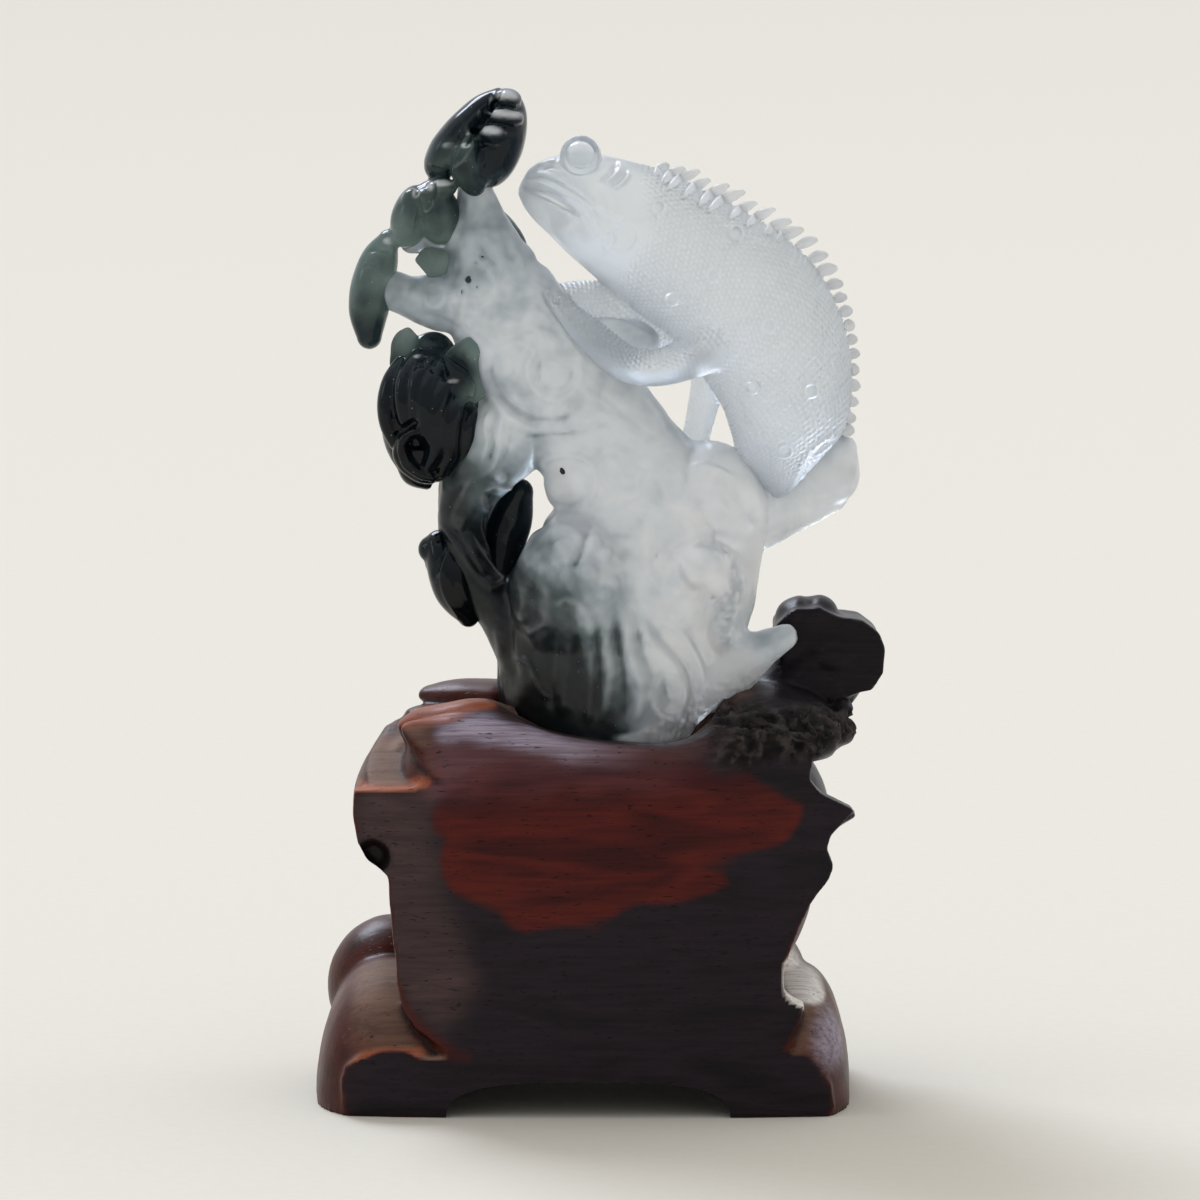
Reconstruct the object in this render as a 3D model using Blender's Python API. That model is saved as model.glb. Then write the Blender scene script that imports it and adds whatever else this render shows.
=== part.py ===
"""Rock-crystal lizard climbing a fungus-grown tree trunk, seated in a carved rosewood stand.

The carving is one stone and the stand is one block, so there are two nodes. The stone rests in a
shallow socket in the top of the stand and lifts straight out. X runs along the lizard, -Y is the
front, +Z is up, and the origin lies under the middle of the stand's feet.
"""

import math

import bmesh
import bpy
from mathutils import Matrix, Vector

MM = 0.001

# Stand, in millimetres
STAND_HALF_DEPTH = 41.5
FACE_BOW = 0.0009  # how far the front and back faces fall back, per square millimetre off centre
FACE_ROLL = 0.0012  # and how far they roll back, per square millimetre above ROLL_FROM
ROLL_FROM = 60.0
FOOT_REACH = 47.0
ARCH_WIDTH = 70.0
ARCH_HEIGHT = 9.2
ARCH_MIDDLE = -2.9
SIDE_ARCH_WIDTH = 34.0
SIDE_ARCH_HEIGHT = 7.0

# Seat of the stone in the stand, in millimetres
SEAT_FLOOR = 84.0
SEAT_GAP = 0.6

# Crest of the lizard
SPINES = 29
SPINE_LEAN = math.radians(55.0)
SPINE_LONGEST = 6.2
SPINE_SHORTEST = 2.8
SPINE_ROOT = 2.4
SPINE_WIDTH = 2.8
SPINE_THICKNESS = 3.4

# Mesh finish: voxel of the union in metres, passes of smoothing, share of faces kept
STONE_VOXEL = 0.0009
STONE_KEEP = 0.035
WOOD_VOXEL = 0.0011
WOOD_KEEP = 0.0245
SMOOTH_PASSES = 9

# The middle of the whole object's box as the rows below are laid out, in millimetres
LAYOUT_MIDDLE = (1.0, 0.0)


def clear_scene():
    for old in list(bpy.data.objects):
        bpy.data.objects.remove(old)


# ---------------------------------------------------------------- shapes shared by both pieces


def catmull_rom(a, b, c, d, t):
    """The value at t between b and c, with a before them and d after."""
    square = 2 * a - 5 * b + 4 * c - d
    cube = 3 * (b - c) + d - a
    return 0.5 * (2 * b + (c - a) * t + square * t**2 + cube * t**3)


def smooth_rows(rows, steps):
    """Rows of numbers read from a Catmull-Rom curve that passes through each given row."""
    ends = [rows[0], *rows, rows[-1]]
    fine = []
    for i in range(1, len(ends) - 2):
        before, here, after, beyond = ends[i - 1 : i + 3]
        for step in range(steps):
            around = zip(before, here, after, beyond, strict=True)
            fine.append(tuple(catmull_rom(*four, step / steps) for four in around))
    fine.append(tuple(rows[-1]))
    return fine


def skin(bm, rings):
    """A closed surface over the rings, with a point at the middle of the first and the last."""
    loops = [[bm.verts.new(point) for point in ring] for ring in rings]
    for lower, upper in zip(loops, loops[1:], strict=False):
        for k in range(len(lower)):
            bm.faces.new((lower[k - 1], lower[k], upper[k], upper[k - 1]))
    for loop, ring, turn in ((loops[0], rings[0], -1), (loops[-1], rings[-1], 1)):
        pole = bm.verts.new(sum(ring, Vector()) / len(ring))
        for k in range(len(loop)):
            bm.faces.new((loop[k - 1], loop[k], pole)[::turn])


def section(centre, side, depth, power, sides):
    """A superellipse; power 2 is an ellipse, and a higher one is squarer."""
    ring = []
    for k in range(sides):
        angle = math.tau * k / sides
        c, s = math.cos(angle), math.sin(angle)
        u = math.copysign(abs(c) ** (2 / power), c)
        v = math.copysign(abs(s) ** (2 / power), s)
        ring.append(centre + side * u + depth * v)
    return ring


def limb(bm, rows, power=2.0, sides=18, steps=3, round_ends=True):
    """A tapering form along a curve. A row is x, y, z, half width and half depth, in millimetres."""
    fine = smooth_rows(rows, steps)
    centres = [Vector(row[:3]) * MM for row in fine]
    rings = []
    for i, row in enumerate(fine):
        along = (centres[min(i + 1, len(fine) - 1)] - centres[max(i - 1, 0)]).normalized()
        depth = (Vector((0, 1, 0)) - along * along.y).normalized()
        side = along.cross(depth)
        caps = []
        if round_ends and i in (0, len(fine) - 1):
            caps = [math.radians(65), math.radians(35)]
        last = i > 0
        for turn in caps if not last else []:
            end = centres[i] - along * row[3] * MM * math.sin(turn)
            shrink = math.cos(turn) * MM
            rings.append(section(end, side * row[3] * shrink, depth * row[4] * shrink, power, sides))
        rings.append(section(centres[i], side * row[3] * MM, depth * row[4] * MM, power, sides))
        for turn in reversed(caps) if last else []:
            end = centres[i] + along * row[3] * MM * math.sin(turn)
            shrink = math.cos(turn) * MM
            rings.append(section(end, side * row[3] * shrink, depth * row[4] * shrink, power, sides))
    skin(bm, rings)


def blob(bm, centre, radii, lean=0.0, flute=None):
    """An egg shape leaning in the front view by degrees. flute gives the surface a radial factor."""
    made = bmesh.ops.create_uvsphere(bm, u_segments=28, v_segments=18, radius=1.0)
    turn = Matrix.Rotation(math.radians(lean), 3, "Y")
    for vert in made["verts"]:
        unit = vert.co.copy()
        if flute:
            unit *= flute(unit)
        stretched = Vector([u * r for u, r in zip(unit, radii, strict=True)])
        vert.co = (Vector(centre) + turn @ stretched) * MM


# ---------------------------------------------------------------- the stone: lizard

BACK = [
    (-20.7, 228.5),
    (-17.5, 232.7),
    (-12.5, 236.2),
    (-5.0, 238.2),
    (4.5, 236.0),
    (15.0, 232.2),
    (25.5, 227.3),
    (36.3, 221.8),
    (46.3, 215.3),
    (54.4, 207.3),
    (59.7, 197.3),
    (62.7, 186.8),
    (63.5, 176.0),
    (61.5, 166.0),
    (55.7, 159.3),
    (50.1, 153.8),
    (46.7, 149.8),
]
BELLY = [
    (-20.8, 225.5),
    (-17.5, 220.8),
    (-12.5, 215.8),
    (-6.0, 209.6),
    (1.8, 203.1),
    (10.0, 197.8),
    (17.5, 191.3),
    (24.3, 183.8),
    (28.1, 177.7),
    (31.2, 172.2),
    (33.2, 166.2),
    (35.2, 160.1),
    (38.2, 156.2),
    (40.7, 152.7),
    (42.2, 150.8),
    (43.1, 149.6),
    (44.4, 148.6),
]
BODY_HALF_DEPTH = [2, 6, 9.5, 11.5, 12.5, 14, 15.5, 16.5, 17, 17, 16.5, 15, 13, 10, 7, 4.5, 2]
EYE = (-4.7, 235.4)
EYE_RADIUS = 4.4


def lizard_body(bm):
    """Head, trunk and folded hind leg: sections that span from the belly line to the back line."""
    rows = [(*b, *f, d) for b, f, d in zip(BACK, BELLY, BODY_HALF_DEPTH, strict=True)]
    rings = []
    for bx, bz, fx, fz, depth in smooth_rows(rows, 3):
        back = Vector((bx, -1, bz)) * MM
        belly = Vector((fx, -1, fz)) * MM
        middle = (back + belly) / 2
        rings.append(section(middle, back - middle, Vector((0, depth * MM, 0)), 2.3, 24))
    skin(bm, rings)
    for y in (-8.5, 6.5):
        blob(bm, (EYE[0], y, EYE[1]), (EYE_RADIUS, 4.4, EYE_RADIUS))


def lizard_limbs(bm):
    """Both arms reaching along the trunk, and the far hind leg down to the rock."""
    limb(
        bm,
        [
            (27.9, -9, 191.3, 5.5, 7),
            (22.3, -12, 186.9, 5.2, 6),
            (15.4, -14, 184.2, 4.2, 5),
            (7.4, -15, 184.3, 4.2, 5),
            (1.0, -15, 187.7, 3.7, 4.5),
            (-3.7, -14, 191.7, 3, 4),
            (-8.4, -12, 196.1, 2.2, 3),
            (-12.4, -10, 200.0, 1.5, 2.5),
        ],
    )
    limb(
        bm,
        [
            (18.2, 6, 191.6, 4.6, 7),
            (10.1, 6, 194.4, 5.6, 8),
            (1.3, 6, 196.4, 6.2, 8),
            (-7.6, 5, 198.2, 5.2, 7),
            (-13.1, 3, 199.8, 3.2, 5),
        ],
    )
    limb(
        bm,
        [
            (26.8, 6, 180.0, 3.3, 4),
            (26.8, 7, 173.2, 3, 3.5),
            (24.5, 7, 166.8, 3, 3.5),
            (23.3, 6, 162.3, 3, 4),
        ],
    )


def lizard_tail(bm):
    """The heavy root of the tail behind the foot, and its end curled back over the rock."""
    limb(
        bm,
        [
            (61.7, -3, 163.3, 3, 5),
            (61.7, -3, 157.3, 5, 6.5),
            (57.2, -3, 151.8, 6.5, 7.5),
            (50.3, -2, 147.2, 6, 8),
            (42.8, -1, 143.3, 6, 9),
            (35.3, 0, 140.7, 6, 10),
        ],
    )
    limb(
        bm,
        [
            (24.9, -15, 141.8, 2.2, 3),
            (30.3, -17, 136.9, 2.4, 3),
            (33.3, -17, 131.3, 2.4, 3),
            (31.5, -19, 126.5, 2.4, 3),
            (29.3, -20, 121.6, 2.4, 3),
            (30.9, -17, 116.6, 2.8, 3.5),
            (37.0, -11, 114.0, 3.7, 4.5),
            (43.9, -8, 115.2, 3.8, 4.5),
            (47.4, -7, 116.3, 2.8, 3.5),
        ],
    )


def crest():
    """Spines in a row down the back, long over the shoulders and short down the rump."""
    bm = bmesh.new()
    line = [Vector((x, -1, z)) * MM for x, z in smooth_rows(BACK[4:14], 24)]
    for n in range(SPINES):
        share = (n + 0.6) / SPINES
        place = int(share * (len(line) - 2)) + 1
        along = (line[place + 1] - line[place - 1]).normalized()
        out = Matrix.Rotation(-SPINE_LEAN, 3, "Y") @ along
        grown = min(1.0, 0.4 + 5 * share) * (1 - min(1.0, max(0.0, share - 0.45) * 2.6))
        length = (SPINE_SHORTEST + (SPINE_LONGEST - SPINE_SHORTEST) * grown) * MM
        foot = line[place] - out * SPINE_ROOT * MM
        half = along * SPINE_WIDTH / 2 * MM
        across = Vector((0, SPINE_THICKNESS / 2 * MM, 0))
        base = [foot - half, foot + across, foot + half, foot - across]
        verts = [bm.verts.new(point) for point in base]
        tip = bm.verts.new(line[place] + out * length)
        bm.faces.new(verts)
        for k in range(4):
            bm.faces.new((verts[k], verts[k - 1], tip))
    return guide("crest", bm)


# ---------------------------------------------------------------- the stone: tree, rock and fungus


def tree_trunk(bm):
    """The leaning trunk, from its thin neck under the top cap down into the rock."""
    limb(
        bm,
        [
            (-31.5, 0, 230.7, 4.3, 4.5),
            (-30.8, 0, 224.3, 5, 5.5),
            (-29.0, 0, 217.8, 7, 7.5),
            (-27.8, 0, 210.8, 10.5, 10),
            (-25.6, 0, 201.8, 14, 13),
            (-20.1, 0, 191.3, 16.1, 15),
            (-9.5, 0, 177.7, 17.1, 16),
            (0.0, 0, 165.2, 17.1, 17),
            (8.1, 0, 153.1, 18.6, 19),
            (13.9, 0, 142.0, 20.1, 21),
        ],
        sides=24,
    )
    blob(bm, (-12.9, -8, 182.5), (13.5, 9, 13.5))
    blob(bm, (3.0, -1, 189.5), (12.0, 10, 6.5))
    blob(bm, (-8.8, -6, 155.5), (8.6, 9, 8.6))


def branches(bm):
    """Side branches: one to the drop-shaped leaf, one under the caps, one rejoining the rock."""
    limb(
        bm,
        [
            (-32.6, 0, 198.5, 8.5, 10),
            (-41.4, 0, 199.3, 6.8, 7.5),
            (-48.9, 0, 201.0, 5.3, 6),
            (-53.6, 0, 202.8, 4.8, 5.5),
        ],
    )
    limb(bm, [(-32.1, 0, 215.3, 5.5, 6), (-38.3, 0, 217.8, 6, 6), (-43.8, 0, 219.3, 6, 6)])
    limb(
        bm,
        [
            (-21.4, 0, 168.4, 11.3, 13),
            (-28.2, 0, 160.9, 10.6, 12),
            (-32.7, 0, 152.8, 8.3, 10),
            (-34.7, 0, 145.8, 6.3, 8.5),
            (-34.5, 0, 138.2, 6.3, 8.5),
            (-31.8, 0, 129.9, 6.1, 9),
            (-24.6, 0, 121.2, 6.4, 11),
            (-18.5, 0, 111.6, 7.6, 14),
        ],
    )


def rock(bm, grow=0.0):
    """The rooted mass whose lower end is the foot in the stand's socket. grow adds clearance."""
    rows = [
        (14.0, 0, 139.5, 26.5, 20),
        (10.0, 0, 129.3, 31.5, 23),
        (6.2, 0, 119.2, 31.2, 25),
        (4.2, 0, 109.1, 31.0, 26),
        (2.0, 0, 98.9, 27.8, 25),
        (1.5, 0, 91.0, 24.8, 24),
        (1.5, 0, SEAT_FLOOR, 23.0, 22),
    ]
    grown = [(x, y, z, width + grow, depth + grow) for x, y, z, width, depth in rows]
    grown[-1] = (*grown[-1][:2], SEAT_FLOOR - grow, *grown[-1][3:])
    limb(bm, grown, sides=32, round_ends=False)


def boulders(bm):
    """The round shoulder in front, the knob under the lizard and the boss beside the tail."""
    blob(bm, (-5.5, -12, 127.3), (17.0, 17.5, 19.4))
    blob(bm, (26.9, 0, 150.3), (14.6, 17, 14.1))
    blob(bm, (17.5, -9, 124.0), (12.5, 15, 14.0))


def caps(bm):
    """The fungus caps and leaves along the left side, from the top one down."""
    blob(bm, (-27.0, -1, 240.2), (7.4, 10, 12.6), lean=14)
    limb(
        bm,
        [
            (-24.9, -2, 250.1, 2.2, 5),
            (-30.4, -3, 246.6, 4, 7),
            (-36.1, -3, 240.9, 5, 8),
            (-39.9, -2, 235.7, 4.2, 7.5),
            (-40.9, -2, 232.7, 3, 6),
        ],
    )
    blob(bm, (-32.4, -5, 234.7), (5.2, 5, 5))
    blob(bm, (-36.0, 0, 229.0), (5.0, 6, 4.5))
    blob(bm, (-47.0, -2, 219.3), (5.2, 8, 7.4), lean=12)
    blob(bm, (-40.5, -2, 221.8), (6.0, 8, 7.8), lean=-18)
    limb(
        bm,
        [
            (-53.1, 0, 215.3, 2.3, 4),
            (-54.9, 0, 210.3, 4.5, 5.5),
            (-57.2, 0, 202.8, 5.5, 6.5),
            (-58.2, 0, 195.3, 4.8, 6),
            (-58.2, 0, 189.8, 2.5, 4),
        ],
    )
    limb(bm, [(-36.7, 4, 215.8, 2.5, 3), (-40.0, 4, 211.8, 4.3, 4), (-42.2, 4, 207.7, 2.8, 3)])
    limb(
        bm,
        [
            (-28.2, 7, 223.5, 1.5, 3),
            (-24.7, 8, 218.5, 3, 3.5),
            (-21.7, 8, 213.5, 3.3, 3.5),
            (-19.7, 7, 209.2, 1.8, 2.5),
        ],
    )
    blob(bm, (-48.3, 2, 186.7), (4.4, 5, 7.0))
    limb(bm, [(-34.7, 3, 189.4, 4, 4), (-32.7, 3, 184.2, 4, 4), (-30.9, 3, 177.6, 2.3, 3.5)])


def shell_flutes(unit):
    """Grooves that run round the curled middle of the cap, on its front."""
    from_curl = math.hypot(unit.x + 0.35, unit.z + 0.45)
    return 1 + 0.05 * max(0.0, -unit.y) * math.cos(from_curl * math.tau / 0.32)


def shell_cap(bm):
    """The dark fluted cap halfway down, with the leaf that shows under it."""
    blob(bm, (-42.6, -4, 171.6), (12.6, 11, 17.6), lean=4, flute=shell_flutes)
    limb(bm, [(-42.0, 0, 188.0, 6, 6), (-42.6, -1, 176.0, 6, 7)])
    limb(bm, [(-49.2, -2, 159.2, 1.8, 3), (-47.2, -2, 155.2, 2.3, 4), (-44.2, -1, 153.4, 1.3, 3)])


def lower_buds(bm):
    """The closed bud at the lower left, and the leaf curling behind it."""
    blob(bm, (-42.3, -2, 137.3), (3.5, 3.5, 3.5))
    limb(
        bm,
        [
            (-40.2, -2, 138.3, 4, 5),
            (-38.2, -3, 132.1, 5.3, 6.5),
            (-35.7, -3, 125.8, 5.3, 6.5),
            (-33.2, -2, 120.4, 2.8, 4),
        ],
    )
    limb(
        bm,
        [
            (-20.3, 8, 151.0, 3.6, 3),
            (-22.4, 9, 145.0, 5.6, 3.5),
            (-24.8, 9, 138.0, 6.0, 4),
            (-25.6, 8, 130.0, 5.6, 4),
        ],
    )


# ---------------------------------------------------------------- the stand


def stand_block(bm):
    """The squared block, widest at the thorn on its right and shouldered in towards the socket."""
    limb(
        bm,
        [
            (-1.0, 0, 0.0, 42, 40),
            (1.5, 0, 15.0, 42, 41.5),
            (-1.5, 0, 30.0, 48, 43),
            (-2.5, 0, 38.0, 47.5, 43),
            (-1.5, 0, 52.0, 51, 43),
            (1.5, 0, 61.0, 54, 43),
            (3.0, 0, 68.0, 53, 43),
            (3.0, 0, 77.0, 51, 43),
            (3.5, 0, 84.5, 48, 41),
            (4.0, 0, 91.0, 43, 37),
            (4.0, 0, 95.0, 36, 30),
        ],
        power=4.0,
        sides=48,
        steps=2,
        round_ends=False,
    )


def front_foot(bm, x, width, height):
    """A squarish dome deeper than the block, so that dressing the front leaves a crisp edge on it."""
    rows = []
    for k in range(8):
        turn = math.radians(90 * k / 8)
        waist = math.cos(turn) ** 0.75
        rows.append((x, -4, height * math.sin(turn), width * waist, FOOT_REACH * waist))
    limb(bm, rows, power=2.6, sides=36, steps=1, round_ends=False)


def stand_feet(bm):
    """Four swelling feet, the front ones larger, and the scroll above the right one."""
    front_foot(bm, -51.0, 20.8, 31.5)
    front_foot(bm, 48.0, 15.4, 27.5)
    blob(bm, (-53.6, 16, 22.5), (16.6, 18, 18.0))
    blob(bm, (-50.0, 22, 6.0), (17.0, 20, 16.0))
    blob(bm, (46.5, 22, 8.0), (14.5, 20, 18.0))
    blob(bm, (47.6, 6, 20.0), (9.4, 20, 15.0))
    limb(bm, [(41.1, -22, 23.6, 9, 24), (49.3, -24, 23.5, 5.5, 20), (54.9, -26, 24.3, 2, 10)])


def ledge(bm):
    """The round ledge on the left, its top cut to a slope that rises towards the back."""
    first = len(bm.verts)
    limb(
        bm,
        [
            (-48.5, -10, 87.5, 8, 32),
            (-51.5, -10, 78.0, 9.6, 34),
            (-52.2, -10, 68.0, 8.6, 34),
            (-51.0, -10, 61.5, 4.5, 30),
        ],
        sides=24,
    )
    bm.verts.ensure_lookup_table()
    for vert in bm.verts[first:]:
        slope = 78.0 * MM + (vert.co.y + STAND_HALF_DEPTH * MM) * 0.55
        vert.co.z = min(vert.co.z, slope)


def stand_lip(bm):
    """The beak-shaped lip that overhangs the ledge, and the rim round the back of the socket."""
    limb(
        bm,
        [
            (-3.7, -22, 81.9, 10.4, 17),
            (-13.6, -22, 84.4, 10.4, 18),
            (-22.3, -22, 88.2, 11.2, 18),
            (-31.0, -22, 91.0, 11.0, 18),
            (-39.6, -23, 92.6, 8.0, 15),
            (-46.0, -25, 94.4, 4.5, 10),
            (-49.2, -26, 95.0, 1.9, 5),
        ],
    )
    limb(bm, [(-25.6, 14, 97.6, 5.1, 12), (-35.9, 16, 99.0, 3.6, 10), (-44.1, 18, 98.6, 2.1, 6)])
    limb(bm, [(-38.1, 6, 93.8, 3.4, 10), (-45.0, 8, 95.0, 2.0, 6), (-48.5, 8, 94.6, 1.3, 4)])
    limb(bm, [(-47.0, -4, 86.2, 5, 14), (-53.0, -2, 86.5, 2.8, 8)])
    limb(
        bm,
        [
            (-32.0, 14, 92.0, 8, 10),
            (-18.0, 31, 94.0, 8, 8),
            (4.0, 34, 96.0, 8, 8),
            (26.0, 28, 96.0, 9, 9),
            (40.0, 12, 94.0, 10, 12),
        ],
        steps=4,
    )


def stand_right(bm):
    """The craggy mass on the right with its knob, the thorn below it and the swelling under that."""
    limb(
        bm,
        [
            (25.2, -6, 86.9, 8.6, 32),
            (36.5, -4, 92.5, 10.6, 32),
            (47.9, -2, 93.2, 9.6, 28),
            (56.9, 0, 91.2, 6.1, 20),
            (61.4, 0, 91.0, 3.3, 12),
        ],
    )
    limb(bm, [(45.5, 10, 91.4, 13.0, 20), (50.6, 12, 98.9, 12.5, 16), (56.0, 13, 106.0, 12, 15)])
    blob(bm, (59.3, 14, 109.6), (14.2, 15, 11.8))
    blob(bm, (52.3, 12, 117.5), (5.4, 9, 4.6))
    blob(bm, (44.0, 14, 103.5), (8.5, 12, 9.0))
    blob(bm, (64.0, 8, 114.0), (6.4, 9, 5.2))
    blob(bm, (58.3, -12, 90.7), (3.2, 6, 3.2))
    blob(bm, (62.0, -8, 94.0), (2.6, 5, 2.6))
    limb(
        bm,
        [
            (44.0, -16, 66.0, 8.5, 24),
            (52.3, -18, 69.6, 6.0, 20),
            (58.5, -20, 72.0, 2.6, 13),
            (62.6, -20, 73.0, 0.9, 7),
        ],
    )
    limb(bm, [(50.0, -16, 60.5, 8.0, 22), (56.0, -16, 60.8, 3.2, 16)])


def stand_back(bm):
    """Two plainer ledges and a hanging fold, so that the back reads as the same carved rock."""
    limb(
        bm,
        [
            (34.0, 30, 84.0, 9, 14),
            (47.0, 26, 76.0, 9, 18),
            (52.0, 20, 66.0, 7, 18),
            (51.0, 20, 57.0, 3.5, 14),
        ],
    )
    limb(
        bm,
        [
            (-52.0, 26, 64.0, 3, 12),
            (-49.0, 27, 74.0, 7.5, 16),
            (-36.0, 30, 82.0, 9, 14),
            (-18.0, 32, 86.0, 8, 12),
        ],
    )
    limb(
        bm,
        [
            (12.0, 37, 86.0, 9, 8),
            (4.0, 39, 70.0, 8, 7),
            (-6.0, 39, 52.0, 7, 7),
            (-10.0, 38, 36.0, 4, 5),
        ],
    )


def planed(bm):
    """Dresses the front and the back of the block to its two slightly bowed faces."""
    for vert in bm.verts:
        bow = FACE_BOW * (vert.co.x / MM) ** 2
        roll = FACE_ROLL * max(0.0, vert.co.z / MM - ROLL_FROM) ** 2
        limit = (STAND_HALF_DEPTH - bow - roll) * MM
        vert.co.y = min(max(vert.co.y, -limit), limit)


def arch_cutter(name, width, height, middle, along_x):
    """A low basket arch between the feet, cut right through the stand."""
    bm = bmesh.new()
    profile = []
    for k in range(15):
        angle = math.pi * k / 14
        c, s = math.cos(angle), math.sin(angle)
        profile.append((middle + math.copysign(abs(c) ** 0.62, c) * width / 2, s**0.8 * height))
    profile += [(middle - width / 2, -5.0), (middle + width / 2, -5.0)]
    ends = []
    for reach in (-90.0, 90.0):
        ring = [Vector((reach, u, v) if along_x else (u, reach, v)) * MM for u, v in profile]
        ends.append([bm.verts.new(point) for point in ring])
    near, far = ends
    for k in range(len(profile)):
        bm.faces.new((near[k - 1], near[k], far[k], far[k - 1]))
    bm.faces.new(near)
    bm.faces.new(far[::-1])
    return guide(name, bm)


def ground_cutter():
    """Everything under the plane that the feet stand on."""
    bm = bmesh.new()
    bmesh.ops.create_cube(bm, size=1.0)
    bmesh.ops.scale(bm, vec=Vector((240, 200, 60)) * MM, verts=bm.verts)
    bmesh.ops.translate(bm, vec=Vector((0, 0, -30)) * MM, verts=bm.verts)
    return guide("ground", bm)


def socket_cutter():
    """The stone's own foot, larger all round by the seat gap."""
    bm = bmesh.new()
    rock(bm, grow=SEAT_GAP)
    return guide("socket", bm)


# ---------------------------------------------------------------- objects, finish and materials


def mesh_object(name, bm):
    bmesh.ops.recalc_face_normals(bm, faces=bm.faces)
    mesh = bpy.data.meshes.new(name)
    bm.to_mesh(mesh)
    bm.free()
    made = bpy.data.objects.new(name, mesh)
    made.location = Vector((-LAYOUT_MIDDLE[0], -LAYOUT_MIDDLE[1], 0)) * MM
    bpy.context.collection.objects.link(made)
    return made


def guide(name, bm):
    """A helper body that a Boolean joins or cuts with."""
    made = mesh_object(name, bm)
    made.hide_render = True
    made.display_type = "WIRE"
    return made


def fuse(made, voxel, keep):
    """Runs overlapping forms into one skin, eases the joins and thins the mesh."""
    remesh = made.modifiers.new("one skin", "REMESH")
    remesh.mode = "VOXEL"
    remesh.voxel_size = voxel
    ease = made.modifiers.new("eased joins", "SMOOTH")
    ease.factor = 0.5
    ease.iterations = SMOOTH_PASSES
    thin = made.modifiers.new("thinned", "DECIMATE")
    thin.ratio = keep


def combine(made, other, operation):
    step = made.modifiers.new(other.name, "BOOLEAN")
    step.operation = operation
    step.object = other
    step.solver = "EXACT"


def principled(name, colour, roughness, metallic=0.0):
    material = bpy.data.materials.new(name)
    material.use_nodes = True
    shader = material.node_tree.nodes["Principled BSDF"]
    shader.inputs["Base Color"].default_value = (*colour, 1.0)
    shader.inputs["Roughness"].default_value = roughness
    shader.inputs["Metallic"].default_value = metallic
    return material


def crystal():
    material = principled("frosted_rock_crystal", (0.62, 0.67, 0.70), 0.28)
    shader = material.node_tree.nodes["Principled BSDF"]
    shader.inputs["IOR"].default_value = 1.544
    shader.inputs["Transmission Weight"].default_value = 0.8
    return material


def rosewood():
    return principled("polished_rosewood", (0.045, 0.016, 0.012), 0.35)


def quartz_carving():
    bm = bmesh.new()
    lizard_body(bm)
    lizard_limbs(bm)
    lizard_tail(bm)
    tree_trunk(bm)
    branches(bm)
    rock(bm)
    boulders(bm)
    caps(bm)
    shell_cap(bm)
    lower_buds(bm)
    carving = mesh_object("quartz_carving", bm)
    carving.data.materials.append(crystal())
    fuse(carving, STONE_VOXEL, STONE_KEEP)
    combine(carving, crest(), "UNION")


def wood_stand():
    bm = bmesh.new()
    stand_block(bm)
    stand_feet(bm)
    ledge(bm)
    stand_lip(bm)
    stand_right(bm)
    stand_back(bm)
    planed(bm)
    stand = mesh_object("wood_stand", bm)
    stand.data.materials.append(rosewood())
    fuse(stand, WOOD_VOXEL, WOOD_KEEP)
    combine(stand, socket_cutter(), "DIFFERENCE")
    combine(stand, ground_cutter(), "DIFFERENCE")
    combine(stand, arch_cutter("front_arch", ARCH_WIDTH, ARCH_HEIGHT, ARCH_MIDDLE, False), "DIFFERENCE")
    combine(stand, arch_cutter("side_arch", SIDE_ARCH_WIDTH, SIDE_ARCH_HEIGHT, 0.0, True), "DIFFERENCE")


clear_scene()
quartz_carving()
wood_stand()
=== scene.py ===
"""Rock-crystal lizard climbing a fungus-grown tree trunk, seated in a carved rosewood stand.

The scene follows the object from the stand up: stand, rock and trunk, what is sealed in the stone,
fungus caps, lizard with its crest and eyes, then the studio. Rows of sizes are in millimetres.
"""

import math

import bmesh
import bpy
import numpy as np
from mathutils import Matrix, Vector, noise
from mathutils.bvhtree import BVHTree


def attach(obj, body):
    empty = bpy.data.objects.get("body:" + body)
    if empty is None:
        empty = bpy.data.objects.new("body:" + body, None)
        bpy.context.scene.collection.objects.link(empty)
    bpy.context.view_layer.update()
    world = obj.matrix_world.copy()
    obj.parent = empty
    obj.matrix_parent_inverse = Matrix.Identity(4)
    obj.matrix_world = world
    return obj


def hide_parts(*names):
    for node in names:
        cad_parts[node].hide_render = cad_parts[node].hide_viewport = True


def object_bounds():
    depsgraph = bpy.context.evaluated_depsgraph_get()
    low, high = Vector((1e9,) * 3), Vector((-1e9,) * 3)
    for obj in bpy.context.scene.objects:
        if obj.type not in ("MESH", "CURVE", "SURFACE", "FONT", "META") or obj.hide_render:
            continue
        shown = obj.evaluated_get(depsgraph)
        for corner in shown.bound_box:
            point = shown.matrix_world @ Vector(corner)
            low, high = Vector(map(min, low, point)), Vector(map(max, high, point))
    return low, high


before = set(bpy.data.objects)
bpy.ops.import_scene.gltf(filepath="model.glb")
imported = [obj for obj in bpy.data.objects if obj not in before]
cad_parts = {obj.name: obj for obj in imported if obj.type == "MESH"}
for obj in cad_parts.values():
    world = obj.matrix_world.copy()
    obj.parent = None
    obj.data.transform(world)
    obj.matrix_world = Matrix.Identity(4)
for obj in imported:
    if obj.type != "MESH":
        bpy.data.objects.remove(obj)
cad_box = [[float(value) for value in corner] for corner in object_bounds()]

# ------------------------------------------------------------------ the stand
# One block of rosewood, sawn and chiselled into a craggy rock with four swelling feet, its front
# and back dressed flat. It was scraped, rubbed and oiled to a satin polish; the broken knob on the
# right keeps its rough bark. The stone drops into a socket cut in its top.

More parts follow.
